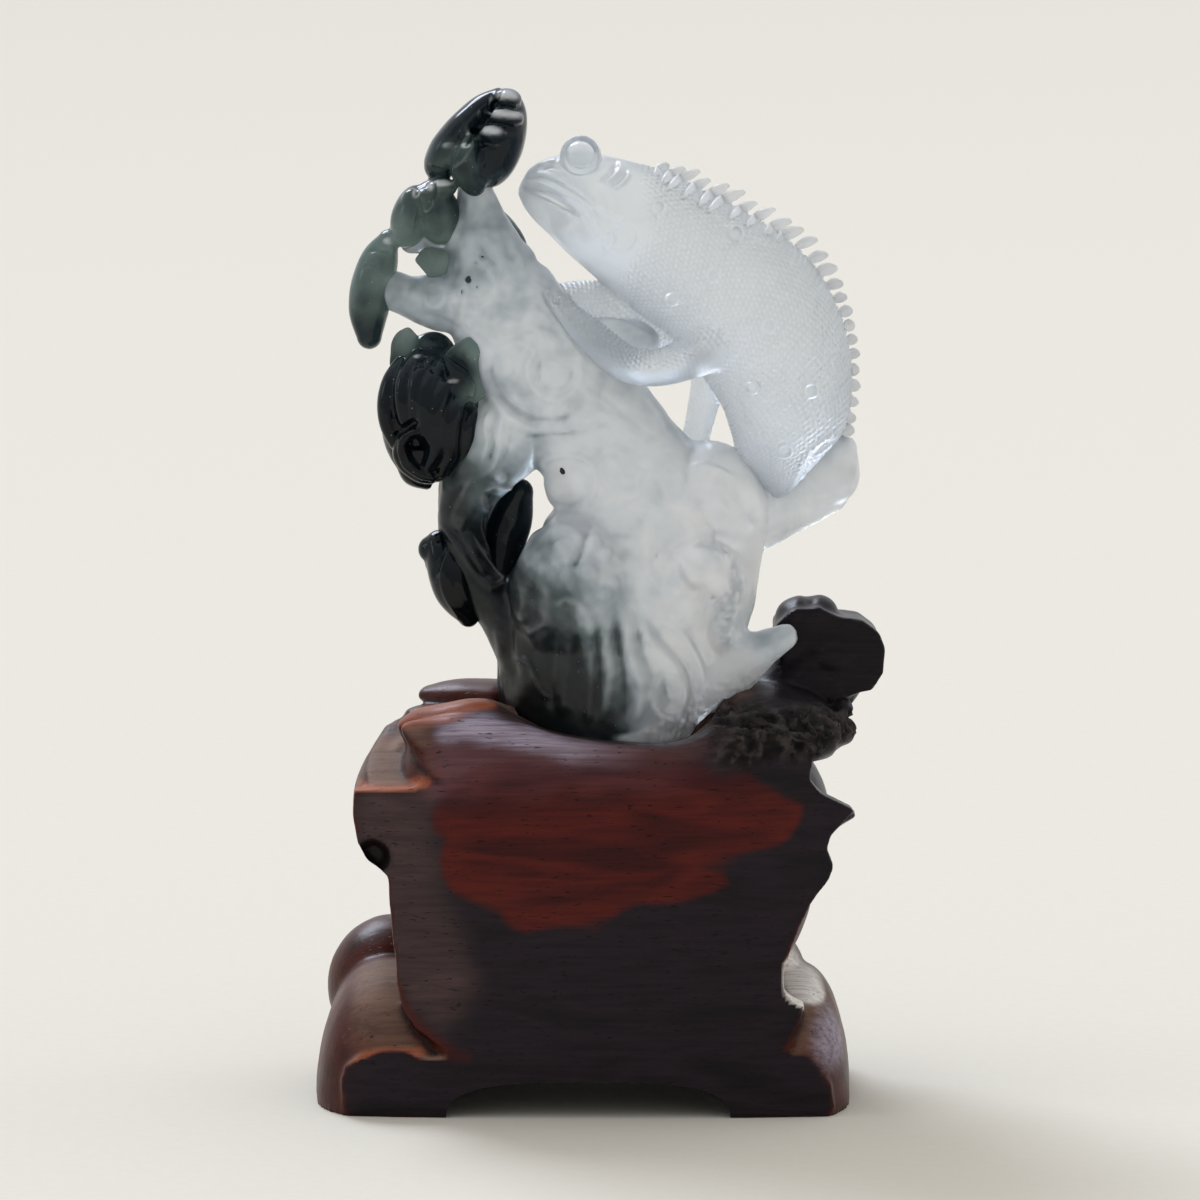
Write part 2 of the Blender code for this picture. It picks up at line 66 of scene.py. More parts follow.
MM = 0.001
LAID_OUT_MIDDLE = 1.0  # the rows below have the middle of the whole object at this x
STAND_HALF_DEPTH = 41.5
FACE_BOW = 0.0009
FACE_ROLL, ROLL_FROM, ROLL_MOST = 0.03, 80.0, 8
FOOT_REACH = 41.3
WOOD_VOXEL = 0.86
SEAT_FLOOR = 84.0
SEAT_GAP = 0.5

box_low, box_high = (np.array(corner) / MM for corner in cad_box)
SHIFT = np.array([(box_low[0] + box_high[0]) / 2 - LAID_OUT_MIDDLE, 0.0, box_low[2]])


def smooth_rows(rows, count):
    """count rows read at even distances along a Catmull-Rom curve through the given rows."""
    rows = np.asarray(rows, float)
    ends = np.vstack([rows[:1], rows, rows[-1:]])
    a, b, c, d = ends[:-3], ends[1:-2], ends[2:-1], ends[3:]
    t = np.linspace(0, 1, 16, endpoint=False)[:, None, None]
    curve = 2 * b + (c - a) * t + (2 * a - 5 * b + 4 * c - d) * t**2 + (3 * (b - c) + d - a) * t**3
    fine = np.vstack([(curve / 2).transpose(1, 0, 2).reshape(-1, rows.shape[1]), rows[-1:]])
    steps = np.linalg.norm(np.diff(fine[:, :3], axis=0), axis=1)
    run = np.concatenate([[0], np.cumsum(np.maximum(steps, 1e-6))])
    even = np.linspace(0, run[-1], count)
    return np.stack([np.interp(even, run, column) for column in fine.T], axis=1)


def squarer(wave, power):
    """A wave from -1 to 1 that a power below 1 makes squarer."""
    return np.sign(wave) * np.abs(wave) ** power


def tube(rows, power=2.0, sides=24, count=0, round_ends=True):
    """Rings of points round a tapering form. A row is x, y, z, half width and half depth."""
    count = count or 4 * len(rows)
    fine = smooth_rows(rows, count)
    centres = fine[:, :3]
    along = np.gradient(centres, axis=0)
    along /= np.linalg.norm(along, axis=1)[:, None]
    if round_ends:
        lead = np.radians([86, 72, 56, 38, 19])
        tips = []
        for index, turns, way in ((0, lead, -1), (-1, lead[::-1], 1)):
            end = fine[index]
            bulge = end[:3] + way * along[index] * end[3] * np.sin(turns)[:, None]
            tips.append(np.hstack([bulge, np.cos(turns)[:, None] * end[3:5]]))
        along = np.vstack([along[:1].repeat(5, 0), along, along[-1:].repeat(5, 0)])
        fine = np.vstack([tips[0], fine[:, :5], tips[1]])
        centres = fine[:, :3]
    depth = np.array([0.0, 1.0, 0.0]) - along * along[:, 1:2]
    depth /= np.linalg.norm(depth, axis=1)[:, None]
    side = np.cross(along, depth)
    angle = np.linspace(0, math.tau, sides, endpoint=False)
    u, v = squarer(np.cos(angle), 2 / power), squarer(np.sin(angle), 2 / power)
    spread = side[:, None] * u[:, None] * fine[:, None, 3:4]
    return centres[:, None] + spread + depth[:, None] * v[:, None] * fine[:, None, 4:5]


def egg(centre, radii, lean=0.0, sides=36):
    """Rings of an egg shape that leans by degrees in the front view."""
    polar = np.linspace(0, math.pi, sides // 2 + 2)[1:-1, None]
    angle = np.linspace(0, math.tau, sides, endpoint=False)[None]
    level, height = np.sin(polar), np.cos(polar) * np.ones_like(angle)
    points = np.stack([level * np.cos(angle), level * np.sin(angle), height], axis=2) * np.array(radii)
    turn = np.array(Matrix.Rotation(math.radians(lean), 3, "Y"))
    return points @ turn.T + np.array(centre)


def closed(rings):
    """Points and faces of a closed skin over rings of points."""
    count, sides = rings.shape[:2]
    points = np.vstack([rings.reshape(-1, 3), rings[0].mean(0)[None], rings[-1].mean(0)[None]])
    index = np.arange(count * sides).reshape(count, sides)
    here, after = index[:-1], index[1:]
    quads = np.stack([here, np.roll(here, -1, 1), np.roll(after, -1, 1), after], 2).reshape(-1, 4)
    first = [(b, a, count * sides) for a, b in zip(index[0], np.roll(index[0], -1), strict=True)]
    last = [(a, b, count * sides + 1) for a, b in zip(index[-1], np.roll(index[-1], -1), strict=True)]
    faces = quads.tolist() + [tuple(map(int, face)) for face in first + last]
    start = rings[:-1]
    skin = np.cross(np.roll(start, -1, 1) - start, rings[1:] - start)
    inward = (skin * (start - start.mean(1, keepdims=True))).sum()
    return points, [face[::-1] for face in faces] if inward < 0 else faces


def placed(name, data):
    """A new object in the scene, made from its mesh, light or camera."""
    made = bpy.data.objects.new(name, data)
    bpy.context.collection.objects.link(made)
    return made


def mesh_piece(name, points, faces):
    """An object from points in millimetres as laid out."""
    mesh = bpy.data.meshes.new(name)
    mesh.from_pydata(((points + SHIFT) * MM).tolist(), [], faces)
    mesh.shade_smooth()
    return placed(name, mesh)


def joined(name, forms):
    """Closed forms side by side in one object, not yet run into one skin."""
    points, faces, first = [], [], 0
    for form in forms:
        more, quads = form if isinstance(form, tuple) else closed(form)
        points.append(more)
        faces += [[corner + first for corner in face] for face in quads]
        first += len(more)
    return mesh_piece(name, np.vstack(points), faces)


def applied(piece):
    """The piece with its modifiers made real."""
    made = piece.evaluated_get(bpy.context.evaluated_depsgraph_get())
    mesh = bpy.data.meshes.new_from_object(made)
    piece.modifiers.clear()
    piece.data = mesh
    mesh.shade_smooth()
    return piece


def one_skin(piece, voxel, passes):
    """Runs the overlapping forms into one skin and eases the joins between them."""
    remesh = piece.modifiers.new("one skin", "REMESH")
    remesh.mode = "VOXEL"
    remesh.voxel_size = voxel * MM
    softened = piece.modifiers.new("eased joins", "SMOOTH")
    softened.factor = 0.5
    softened.iterations = passes
    return applied(piece)


def numbers(items, name, each=3, kind=np.float32):
    """One row of numbers from each of a mesh's points, edges or faces."""
    found = np.empty(len(items) * each, kind)
    items.foreach_get(name, found)
    return found.reshape(-1, each)


def points_of(piece):
    """The piece's points in millimetres as laid out, and the way the surface faces at each."""
    mesh = piece.data
    return numbers(mesh.vertices, "co") / MM - SHIFT, numbers(mesh.vertex_normals, "vector")


def move_points(piece, points):
    """Puts the piece's points at these places, in millimetres as laid out."""
    piece.data.vertices.foreach_set("co", ((points + SHIFT) * MM).astype(np.float32).ravel())
    piece.data.update()


def averaged(piece, points, passes):
    """The points after each has moved to the middle of its neighbours, that many times."""
    edges = numbers(piece.data.edges, "vertices", 2, np.int32)
    start, end = edges.T
    count = np.maximum(np.bincount(edges.ravel(), minlength=len(points)), 1)
    smooth = points.copy()
    for _ in range(passes):
        for axis in range(3):
            total = np.bincount(start, smooth[end, axis], len(points))
            total += np.bincount(end, smooth[start, axis], len(points))
            smooth[:, axis] = total / count
    return smooth


def proud(piece, passes):
    """How far each point stands proud of its surroundings, in mm: edges above 0, hollows below."""
    points, facing = points_of(piece)
    return ((points - averaged(piece, points, passes)) * facing).sum(1)


def paint(piece, name, amount):
    """Keeps a number from 0 to 1 for each point, which a material reads."""
    layer = piece.data.attributes.new(name, "FLOAT", "POINT")
    layer.data.foreach_set("value", np.clip(amount, 0, 1).astype(np.float32))


def swell(points, size, seed=0.0):
    """Soft random swellings of about size millimetres, from -1 to 1."""
    return np.array([noise.noise(place) for place in (points / size + seed).tolist()])


def ease(low, high, value):
    """0 below low, 1 above high, and a smooth step between."""
    t = np.clip((value - low) / (high - low), 0, 1)
    return t * t * (3 - 2 * t)


def off_spot(points, x, z):
    """How far each point lies from a spot of the front view, in mm."""
    return np.hypot(points[:, 0] - x, points[:, 2] - z)


def off_run(flat, start, end):
    """Where along a straight run each point lies, from 0 to 1, and how far off it."""
    run = end - start
    t = np.clip((flat - start) @ run / (run @ run + 1e-9), 0, 1)
    return t, np.linalg.norm(flat - start - t[:, None] * run, axis=1)


def domes(points, facing, places, crown=0.25):
    """Round swellings on the front: x, z, radius and height in mm. The crown's share is flat."""
    raised = np.zeros(len(points))
    for x, z, radius, height in places:
        raised += height * (1 - ease(crown * radius, radius, off_spot(points, x, z)))
    return raised * np.clip(-facing[:, 1] * 2, 0, 1)


def relief(points, facing, lines, back=0.6):
    """Ridges and grooves along lines of the front view: height, half width, then x and z in turn."""
    flat = points[:, [0, 2]]
    raised = np.zeros(len(points))
    for height, width, *line in lines:
        path = smooth_rows(np.reshape(line, (-1, 2)), 5 * len(line) // 2)
        reach = 2.6 * width
        near = np.where(((flat > path.min(0) - reach) & (flat < path.max(0) + reach)).all(1))[0]
        spots = flat[near]
        best = np.full(len(near), 1e9)
        share = np.zeros(len(near))
        for step, (start, end) in enumerate(zip(path[:-1], path[1:], strict=True)):
            t, apart = off_run(spots, start, end)
            closer = apart < best
            best = np.where(closer, apart, best)
            share = np.where(closer, (step + t) / (len(path) - 1), share)
        taper = np.clip(np.sin(math.pi * (0.04 + 0.92 * share)) * 2.2, 0, 1)
        raised[near] += height * np.exp(-((best / width) ** 2)) * taper
    front = np.clip(-facing[:, 1] * 1.7, 0, 1)
    return raised * (front + back * np.clip(facing[:, 1] * 1.7, 0, 1))


def front_foot(x, width, height):
    """A squarish dome deeper than the block, so that dressing the front leaves an edge on it."""
    turns = np.radians(90 * np.arange(12) / 12)
    waist = np.cos(turns) ** 0.75
    rows = [(x, -4, height * math.sin(t), width * w, FOOT_REACH * w) for t, w in zip(turns, waist)]
    return tube(rows, power=2.6, sides=56, count=26, round_ends=False)


def dressed(outline, front, back):
    """A slab with a flat front of that outline, from front to back in depth."""
    count = len(outline)
    across, up = np.array(outline).T
    ends = [np.stack([across, np.full(count, depth), up], 1) for depth in (front, back)]
    sides = [(n, (n + 1) % count, (n + 1) % count + count, n + count) for n in range(count)]
    faces = [tuple(range(count))[::-1], tuple(range(count, 2 * count)), *sides]
    return np.vstack(ends), faces


def sloped(rings, front_height=81.0, rise=0.27):
    """The ledge's top, cut to a slope that rises towards the back."""
    slope = front_height + (rings[..., 1] + STAND_HALF_DEPTH) * rise
    rings[..., 2] = np.minimum(rings[..., 2], slope)
    return rings


def rock_foot(grow=0.0):
    """The rooted mass whose lower end is the stone's foot in the socket."""
    rows = [
        (14.0, 0, 139.5, 26.5, 20),
        (10.2, 0, 129.3, 28.8, 23),
        (6.2, 0, 119.2, 31.2, 25),
        (4.2, 0, 109.1, 31.0, 26),
        (2.0, 0, 98.9, 27.8, 25),
        (1.5, 0, 91.0, 24.8, 24),
        (1.5, 0, SEAT_FLOOR - grow, 23.0, 22),
    ]
    grown = [(x, y, z, width + grow, depth + grow) for x, y, z, width, depth in rows]
    return tube(grown, sides=64, round_ends=False)


BLOCK = [
    (3, 0, 0, 39, 38), (2, 0, 12, 41, 40), (-0.5, 0, 22, 44.5, 42), (-2, 0, 32, 46.5, 43),
    (-1.5, 0, 45, 48, 43), (1, 0, 58, 51.5, 43), (1.5, 0, 68, 53, 43), (1.5, 0, 78, 51, 43),
    (3, 0, 86, 48, 42), (4, 0, 92, 45, 40), (4, 0, 95, 42, 37),
]
DRESSED_FACE = [  # outline of the flat front, clockwise from the left foot
    (-62.3, 0), (-63.5, 3.3), (-63.8, 8.5), (-62.8, 12.5), (-59.6, 14.7), (-49, 15.2), (-39.2, 14.7),
    (-33.6, 14.7), (-40.7, 18.4), (-45.3, 21.9), (-48.2, 26.1), (-49.7, 32.1), (-50.2, 38.3),
    (-51.1, 46.9), (-51.6, 54.3), (-51.8, 59.8), (-54.2, 61.7), (-57.1, 63.7), (-59.3, 68.1),
    (-60.5, 74.8), (-60.2, 80.9), (-48.8, 81.4), (-37.3, 82.4), (-43.9, 87.8), (-48.2, 92.2),
    (-50.2, 96.6), (-44, 97.6), (-33, 98.4), (-22, 97.6), (-12, 94.9), (4.9, 92.6), (19.5, 93.4),
    (29.2, 95.5), (40, 96), (52, 94), (55, 91.7), (51.9, 88.3), (51.4, 83.4), (54.1, 80.2), (62.5, 76),
    (59.8, 72.8), (56.6, 69.6), (55.7, 66.2), (57.4, 62.2), (56.2, 58.8), (51.8, 53.1), (48.9, 46.9),
    (46.5, 40.7), (45, 35.8), (45.3, 30.8), (47.7, 28.9), (50.4, 27.6), (49, 23.4), (46.6, 18.4),
    (42.9, 14.2), (49, 13.4), (53.9, 11.7), (56.9, 8.5), (57.9, 2.3), (56.4, 0),
]
LEDGE = [
    (-48.5, -10, 87.5, 8, 32), (-51.5, -10, 78, 9.6, 34), (-52.2, -10, 68, 8.6, 34),
    (-51, -10, 61.5, 4.5, 30),
]
LIP = [
    (-3.7, -22, 81.9, 10.4, 17), (-13.6, -22, 84.4, 10.4, 18), (-22.3, -22, 88.2, 11.2, 18),
    (-31, -22, 91, 11, 18), (-39.6, -23, 92.6, 8, 15), (-46, -25, 94.4, 4.5, 10),
    (-49.2, -26, 95, 1.9, 5),
]
RIM = [
    (-32, 14, 92, 8, 10), (-18, 31, 94, 8, 8), (4, 34, 96, 8, 8), (26, 28, 96, 9, 9),
    (40, 12, 94, 10, 12),
]
CRAG = [
    (25.2, -6, 86.9, 8.6, 32), (36.5, -4, 92.5, 10.6, 32), (47.9, -2, 93.2, 9.6, 28),
    (56.9, 0, 91.2, 6.1, 20), (61.4, 0, 91, 3.3, 12),
]
THORN = [
    (44, -16, 66, 8.5, 24), (52.3, -18, 69.6, 6, 20), (58.5, -20, 72, 2.6, 13), (62.6, -20, 73, 0.9, 7),
]
KNOB = [
    (44.6, 112), (44.4, 118), (48.4, 121.6), (54.6, 122.6), (60.3, 119.9), (66.1, 119.2), (70.4, 115.9),
    (72.1, 111.9), (71.6, 105.6), (68.8, 101.4), (64.3, 100.4), (58, 97.6), (50, 98.6),
]
BACK_LEDGES = [
    [(34, 30, 84, 9, 14), (47, 26, 76, 9, 18), (52, 20, 66, 7, 18), (51, 20, 57, 3.5, 14)],
    [(-52, 26, 64, 3, 12), (-49, 27, 74, 7.5, 16), (-36, 30, 82, 9, 14), (-18, 32, 86, 8, 12)],
    [(12, 37, 86, 9, 8), (4, 39, 70, 8, 7), (-6, 39, 52, 7, 7), (-10, 38, 36, 4, 5)],
]
stand_forms = [
    tube(BLOCK, power=8.0, sides=72, round_ends=False),
    dressed(DRESSED_FACE, -STAND_HALF_DEPTH, -33.0),
    front_foot(-51.0, 20.6, 34.0),
    front_foot(48.6, 14.4, 32.0),
    egg((-53.6, 16, 23.5), (16.6, 18, 18.0)),
    egg((-50.0, 22, 6.0), (17.0, 20, 16.0)),
    egg((46.5, 22, 8.0), (14.5, 20, 18.0)),
    egg((45.0, 6, 24.0), (8.0, 20, 15.0)),
    sloped(tube(LEDGE, sides=48)),
    tube(LIP, sides=40),
    tube([(-25.6, 14, 97.6, 5.1, 12), (-35.9, 16, 99.0, 3.6, 10), (-44.1, 18, 98.6, 2.1, 6)]),
    tube([(-38.1, 6, 93.8, 3.4, 10), (-45.0, 8, 95.0, 2.0, 6), (-48.5, 8, 94.6, 1.3, 4)]),
    tube([(-47.0, -4, 86.2, 5, 14), (-53.0, -2, 86.5, 2.8, 8)]),
    tube(RIM, sides=32),
    tube(CRAG, sides=40),
    tube([(45.5, 10, 91.4, 13.0, 20), (50.6, 12, 98.9, 12.5, 16), (56.0, 13, 106.0, 12, 15)], power=3.0),
    dressed(KNOB, -1.0, 25.0),
    egg((58.5, 12, 109.5), (13.4, 15, 9.6)),
    egg((50.3, 11, 118.4), (6.0, 9, 5.8)),
    egg((55.6, 13, 120.4), (5.2, 8, 4.2)),
    egg((44.0, 14, 103.5), (8.5, 12, 9.0)),
    egg((57.3, -10, 93.4), (4.4, 6, 4.2)),
    egg((61.0, -6, 97.0), (2.6, 5, 3.6)),
    tube(THORN, sides=32),
    *[tube(rows, sides=32) for rows in BACK_LEDGES],
]
for form in stand_forms:  # dressed flat in front, behind and underneath
    if not isinstance(form, tuple):
        form[..., 1] = np.clip(form[..., 1], -STAND_HALF_DEPTH, STAND_HALF_DEPTH)
        form[..., 2] = np.maximum(form[..., 2], 0)
stand = one_skin(joined("carved_stand", stand_forms), WOOD_VOXEL, 4)

SEAM = [  # x and z of the rim's top where it meets the front of the stone
    (-26, 100.9), (-21.2, 97.6), (-13.7, 94), (-6.2, 92.4), (2.5, 91.2), (12.4, 90.6), (18, 90.8),
    (23, 92.2), (27, 95.6), (30, 100),
]
SEAM_DEPTH, SEAM_FALL = -22, 0.0875  # the depth at which it has that height, and its fall backwards
SEAM_PASSES = 22

# The dressed faces bow a little in plan and roll back under the stone
points, facing = points_of(stand)
rolled = FACE_BOW * points[:, 0] ** 2
roll = np.minimum(FACE_ROLL * np.maximum(0, points[:, 2] - ROLL_FROM) ** 2, ROLL_MOST)
rolled += roll * ease(32, 22, points[:, 0])
outer = ease(22, STAND_HALF_DEPTH, np.abs(points[:, 1]))
points[:, 1] -= np.sign(points[:, 1]) * rolled * outer
seam = np.interp(points[:, 0], *np.array(SEAM).T) - SEAM_FALL * (points[:, 1] - SEAM_DEPTH)
in_front = (points[:, 1] < -14) & (points[:, 0] > -27) & (points[:, 0] < 30)
points[:, 2] = np.where(in_front, np.minimum(points[:, 2], seam), points[:, 2])
soft = ease(84, 89, points[:, 2]) * ease(-14, -24, points[:, 1]) * ease(30, 24, points[:, 0])
points += (averaged(stand, points, SEAM_PASSES) - points) * soft[:, None]
move_points(stand, points)


def barky(points):
    """How far each point lies in the band of bark left between the rim and the knob."""
    x, y, z = points.T
    band = ease(24, 32, x) * ease(88, 93, z + 0.12 * (60 - x)) * (1 - ease(99, 104, z + 0.1 * (x - 30)))
    return band * (1 - ease(0, 14, y))


def fissures(points, low, high):
    """The net of cracks that runs through bark: 1 along a crack and 0 away from it."""
    net = np.minimum(np.abs(swell(points * [1, 1, 1.5], 6.5)), np.abs(swell(points, 4.2, 7.0)))
    return ease(high, low, net)


RECESS = (-55.6, 64.4, 5.0, 4.5)  # the round hollow under the ledge: x, z, radius and depth

# Chisel work: soft facets behind, fissured bark below the knob, ripples on its top
points, facing = points_of(stand)
x, y, z = points.T
bark = barky(points)
fibres = fissures(points, 0.02, 0.13)
knob = ease(96, 104, z) * ease(38, 44, x)
ripples = np.cos((x - 0.8 * z) * math.tau / 6.0) * ease(118, 121, z) * ease(58, 54, x)
flat_front = np.clip(-facing[:, 1], 0, 1) ** 4
tooled = 0.3 * swell(points, 14.0) + 0.1 * swell(points, 5.0, 3.0) * (1 - knob)
carved = tooled * (1 - 0.85 * flat_front) + bark * (1.2 * fibres - 0.9) + 0.22 * knob * ripples
points = points + facing * carved[:, None]
points[:, 1] += domes(points, facing, [RECESS], 0.45)
points[:, 2] = np.maximum(points[:, 2], 0)
move_points(stand, points)

SHARP_ANGLE = 48  # degrees at which an edge stays crisp
seat_cutter = joined("seat", [rock_foot(SEAT_GAP)])
ARCHES = [(70, 9.2, -2.9, False), (34, 7, 0, True)]  # width, height, middle, runs along x


def arch_bar(width, height, middle, along_x):
    """A bar with the low basket arch as its section, longer than the stand."""
    angle = np.linspace(0, math.pi, 25)
    across = middle + squarer(np.cos(angle), 0.62) * width / 2
    up = np.sin(angle) ** 0.8 * height
    across = np.concatenate([across, [middle - width / 2, middle + width / 2]])
    up = np.concatenate([up, [-5, -5]])
    ends = []
    for reach in (-90.0, 90.0):
        far = np.full(len(up), reach)
        ends.append(np.stack([far, across, up] if along_x else [across, far, up], 1))
    return np.stack(ends)


def cut(piece, cutter):
    """Takes the cutter's shape out of the piece."""
    step = piece.modifiers.new("cut", "BOOLEAN")
    step.operation = "DIFFERENCE"
    step.solver = "EXACT"
    step.object = cutter
    applied(piece)
    bpy.data.objects.remove(cutter)


cut(stand, seat_cutter)
for arch in ARCHES:
    cut(stand, joined("arch", [arch_bar(*arch)]))
stand.data.set_sharp_from_angle(angle=math.radians(SHARP_ANGLE))

# Outlines in the front view: red heartwood and browner wood that show through the dark wood, the
# left foot's chamfer, a painted patch of light on the right foot, and the painted reflection along the rim
HEARTWOOD = [
    (-37.2, 80.3), (-24.6, 87.9), (-7.8, 86), (9, 90.2), (21.1, 88.8), (31.4, 86), (38.8, 84.1),
    (47.2, 78.5), (49.6, 73.8), (43.5, 67.2), (32.3, 64.8), (23.9, 62.5), (30.5, 58.7), (25.8, 55.4),
    (18.3, 53), (6.2, 52.5), (1.5, 48.8), (-7.9, 46.9), (-18.1, 47.8), (-24.7, 50.9), (-32.2, 54),
    (-37.3, 59.6), (-37.7, 67.2), (-41, 74.7),
]
BROWN_WOOD = [
    (-60, 84), (-42.4, 82), (-38.7, 67.2), (-37.8, 57.7), (-33, 46), (-30, 32), (-38, 20), (-50, 30),
    (-60, 60),
]
CHAMFER = [(-50, 36), (-46, 27), (-38, 19), (-31, 15), (-36, 14.4), (-44, 18.5), (-49.4, 25)]
PAINTED_LIGHT_PATCH = [
    (45, 38.9), (47.4, 39.2), (51.9, 33.8), (55.4, 29.4), (55.8, 26.6), (50.9, 26.6), (47, 28.2),
    (45, 32.1),
]
SHEEN = [(-38, 95.2), (-31, 95.5), (-20, 94), (-8, 91.4), (6, 89.8), (20, 90.6)]


def inside(points, outline):
    """How far each point lies within an outline of the front view, in mm; negative outside it."""
    flat = points[:, [0, 2]]
    outline = smooth_rows([*outline, outline[0]], 4 * len(outline))
    crossings = np.zeros(len(flat), int)
    apart = np.full(len(flat), 1e9)
    for start, end in zip(outline[:-1], outline[1:], strict=True):
        run = end - start
        apart = np.minimum(apart, off_run(flat, start, end)[1])
        spans = (start[1] > flat[:, 1]) != (end[1] > flat[:, 1])
        reach = start[0] + run[0] * (flat[:, 1] - start[1]) / (run[1] or 1e-9)
        crossings += spans & (flat[:, 0] < reach)
    return np.where(crossings % 2 == 1, apart, -apart)


RUBBED = [  # where hands and cloths have taken the wood back to orange: lip, ledge and foot
    [(-50.4, 95), (-49.6, 98.4), (-44, 101.6), (-36, 104), (-27, 105.5), (-24.5, 101), (-33, 98.6),
     (-42, 96.6)],
    [(-60.5, 80), (-60, 81.5), (-50, 82.2), (-41, 84.8), (-36, 84), (-40, 81), (-50, 80.2)],
    [(-61, 12.5), (-59, 15.6), (-52, 17), (-42, 16.6), (-46, 14.6), (-56, 14)],
]
UNDERCUT = (0.9, 0.9, -48.5, 92.5, -47.6, 90.9, -43.9, 86.2, -38.4, 82.5)  # the groove under the lip
SOCKET = (1.5, 32, 29)  # the middle's x and the half sizes of its mouth
points, facing = points_of(stand)
x, y, z = points.T
wander = 2.6 * swell(points, 9.0) + 1.2 * swell(points * [0.5, 1, 1], 3.0, 5.0)
stands_proud = proud(stand, 14)
depth_in = inside(points, HEARTWOOD) + wander
red = ease(-1.4, 1.6, depth_in) * (1 - 0.6 * ease(74, 88, z - 0.1 * x))
paint(stand, "heartwood", np.maximum(red, 0.6 * ease(-1.5, 1.5, inside(points, CHAMFER))))
deeper = depth_in + 2.0 * swell(points * [0.4, 1, 1], 6.0, 4.0)
paint(stand, "ember", red * ease(9, 2, deeper) * ease(84, 72, z - 0.12 * x))
plum = ease(76, 84, z + 1.5 * wander) * ease(98, 92, z) * ease(34, 10, x) * ease(-55, -42, x)
paint(stand, "plum", plum * ease(0.3, 0.7, -facing[:, 1]))
# Painted light: a pale patch where light falls on the right foot's side, away from the flat front.
chipped_edge_and_lit_side = ease(-0.97, -0.9, facing[:, 1]) * ease(4, -8, y)
paint(stand, "bare", ease(-0.8, 0.8, inside(points, PAINTED_LIGHT_PATCH)) * chipped_edge_and_lit_side)
paint(stand, "brown_wood", ease(-4, 7, inside(points, BROWN_WOOD) + wander))
off_face = 1 - ease(0.88, 0.97, -facing[:, 1]) * ease(-36, -38.5, y)
# Painted reflection: a lilac sheen along the rim's top, and a painted highlight on the right foot's side.
along_rim = smooth_rows([(a, b, 0) for a, b in SHEEN], 60)[:, :2]
off_rim = np.linalg.norm(points[:, None, [0, 2]] - along_rim[None], axis=2).min(1)
rim_reflection = (1 - ease(0.5, 5.0, off_rim + 0.6 * wander)) * ease(14, -24, x)
rim_reflection = rim_reflection * ease(-10, -22, y) * ease(0.0, 0.4, -facing[:, 1])
foot_highlight = 0.8 * ease(7.5, 2, np.hypot(x - 57.5, 0.7 * (z - 19)))
foot_highlight = foot_highlight * ease(0.0, 0.3, -facing[:, 1]) * ease(-16, -26, y)
paint(stand, "sheen", np.maximum(rim_reflection, foot_highlight * off_face))
bark = barky(points)
paint(stand, "bark", bark)
paint(stand, "fibres", bark * fissures(points, 0.03, 0.14))
# The upper right, with the knob, is painted near black.
dark_knob = np.maximum(ease(34, 46, x) * ease(84, 96, z), ease(30, 44, x) * ease(95, 101, z))
paint(stand, "ebony", dark_knob)
rubbed = [ease(-1.0, 0.8, inside(points, outline) + 0.25 * wander) for outline in RUBBED]
rubbed = np.max(rubbed, axis=0)
paint(stand, "worn", rubbed * off_face * ease(-10, -24, y) * ease(-0.1, 0.35, facing[:, 2]))
# Painted shade: hollows, the round recess under the ledge and the groove under the lip are darkened.
off_recess = off_spot(points, *RECESS[:2])
recess = ease(5.2, 4.2, off_recess) * ease(-28, -31, y)
undercut = relief(points, facing, [UNDERCUT]) * ease(-24, -32, y)
paint(stand, "crevice", np.max([ease(0.12, 0.8, -stands_proud), recess, undercut], axis=0))
# Wood off the dressed front and back is painted redder, partly as handled wood and partly as painted light
# on its sides and tops.
front_rim = ease(80, 87, z) * ease(-14, -24, y) * ease(-46, -38, x)
handled_and_lit_mask = off_face * (1 - ease(34, 46, x) * ease(40, 60, z)) * (1 - 0.9 * front_rim)
handled_and_lit_mask *= ease(5.2, 7.5, off_recess)
handled_and_lit_mask *= 1 - ease(44, 40, np.abs(x + 2.9)) * ease(14, 11, z)
handled_and_lit_mask *= 1 - (0.75 + 0.2 * swell(points, 22.0, 8.0)) * ease(0.8, 0.95, facing[:, 1])
handled_and_lit_mask *= 1 - ease(1.0, 0.2, ((x - SOCKET[0]) / SOCKET[1]) ** 2 + (y / SOCKET[2]) ** 2) * ease(82, 86, z)
paint(stand, "handled", handled_and_lit_mask)
# Tops that face up are painted paler and duller, partly as dust and partly as painted light from above.
dusty = handled_and_lit_mask * ease(0.25, 0.75, facing[:, 2])
paint(stand, "dusty", dusty * ease(-0.85, -0.4, facing[:, 0]) * ease(0, -12, y))


def linear(hex_colour):
    """An sRGB colour such as #5a1e18 as the linear numbers a shader takes."""
    steps = [int(hex_colour[i : i + 2], 16) / 255 for i in (1, 3, 5)]
    return (*[s / 12.92 if s <= 0.04045 else ((s + 0.055) / 1.055) ** 2.4 for s in steps], 1.0)


def add(tree, kind, settings=None, links=None, out=0):
    """Adds one node with its settings, plain values and links, and gives the output asked for."""
    node = tree.nodes.new("ShaderNode" + kind)
    for name, value in (settings or {}).items():
        if name == "stops":
            marks = node.color_ramp.elements
            while len(marks) < len(value):
                marks.new(0.5)
            for mark, (at, colour) in zip(marks, value, strict=True):
                mark.position, mark.color = at, linear(colour)
        elif isinstance(name, str) and hasattr(node, name):
            setattr(node, name, value)
        else:
            node.inputs[name].default_value = value
    for name, source in (links or {}).items():
        tree.links.new(source, node.inputs[name])
    return node.outputs[out]


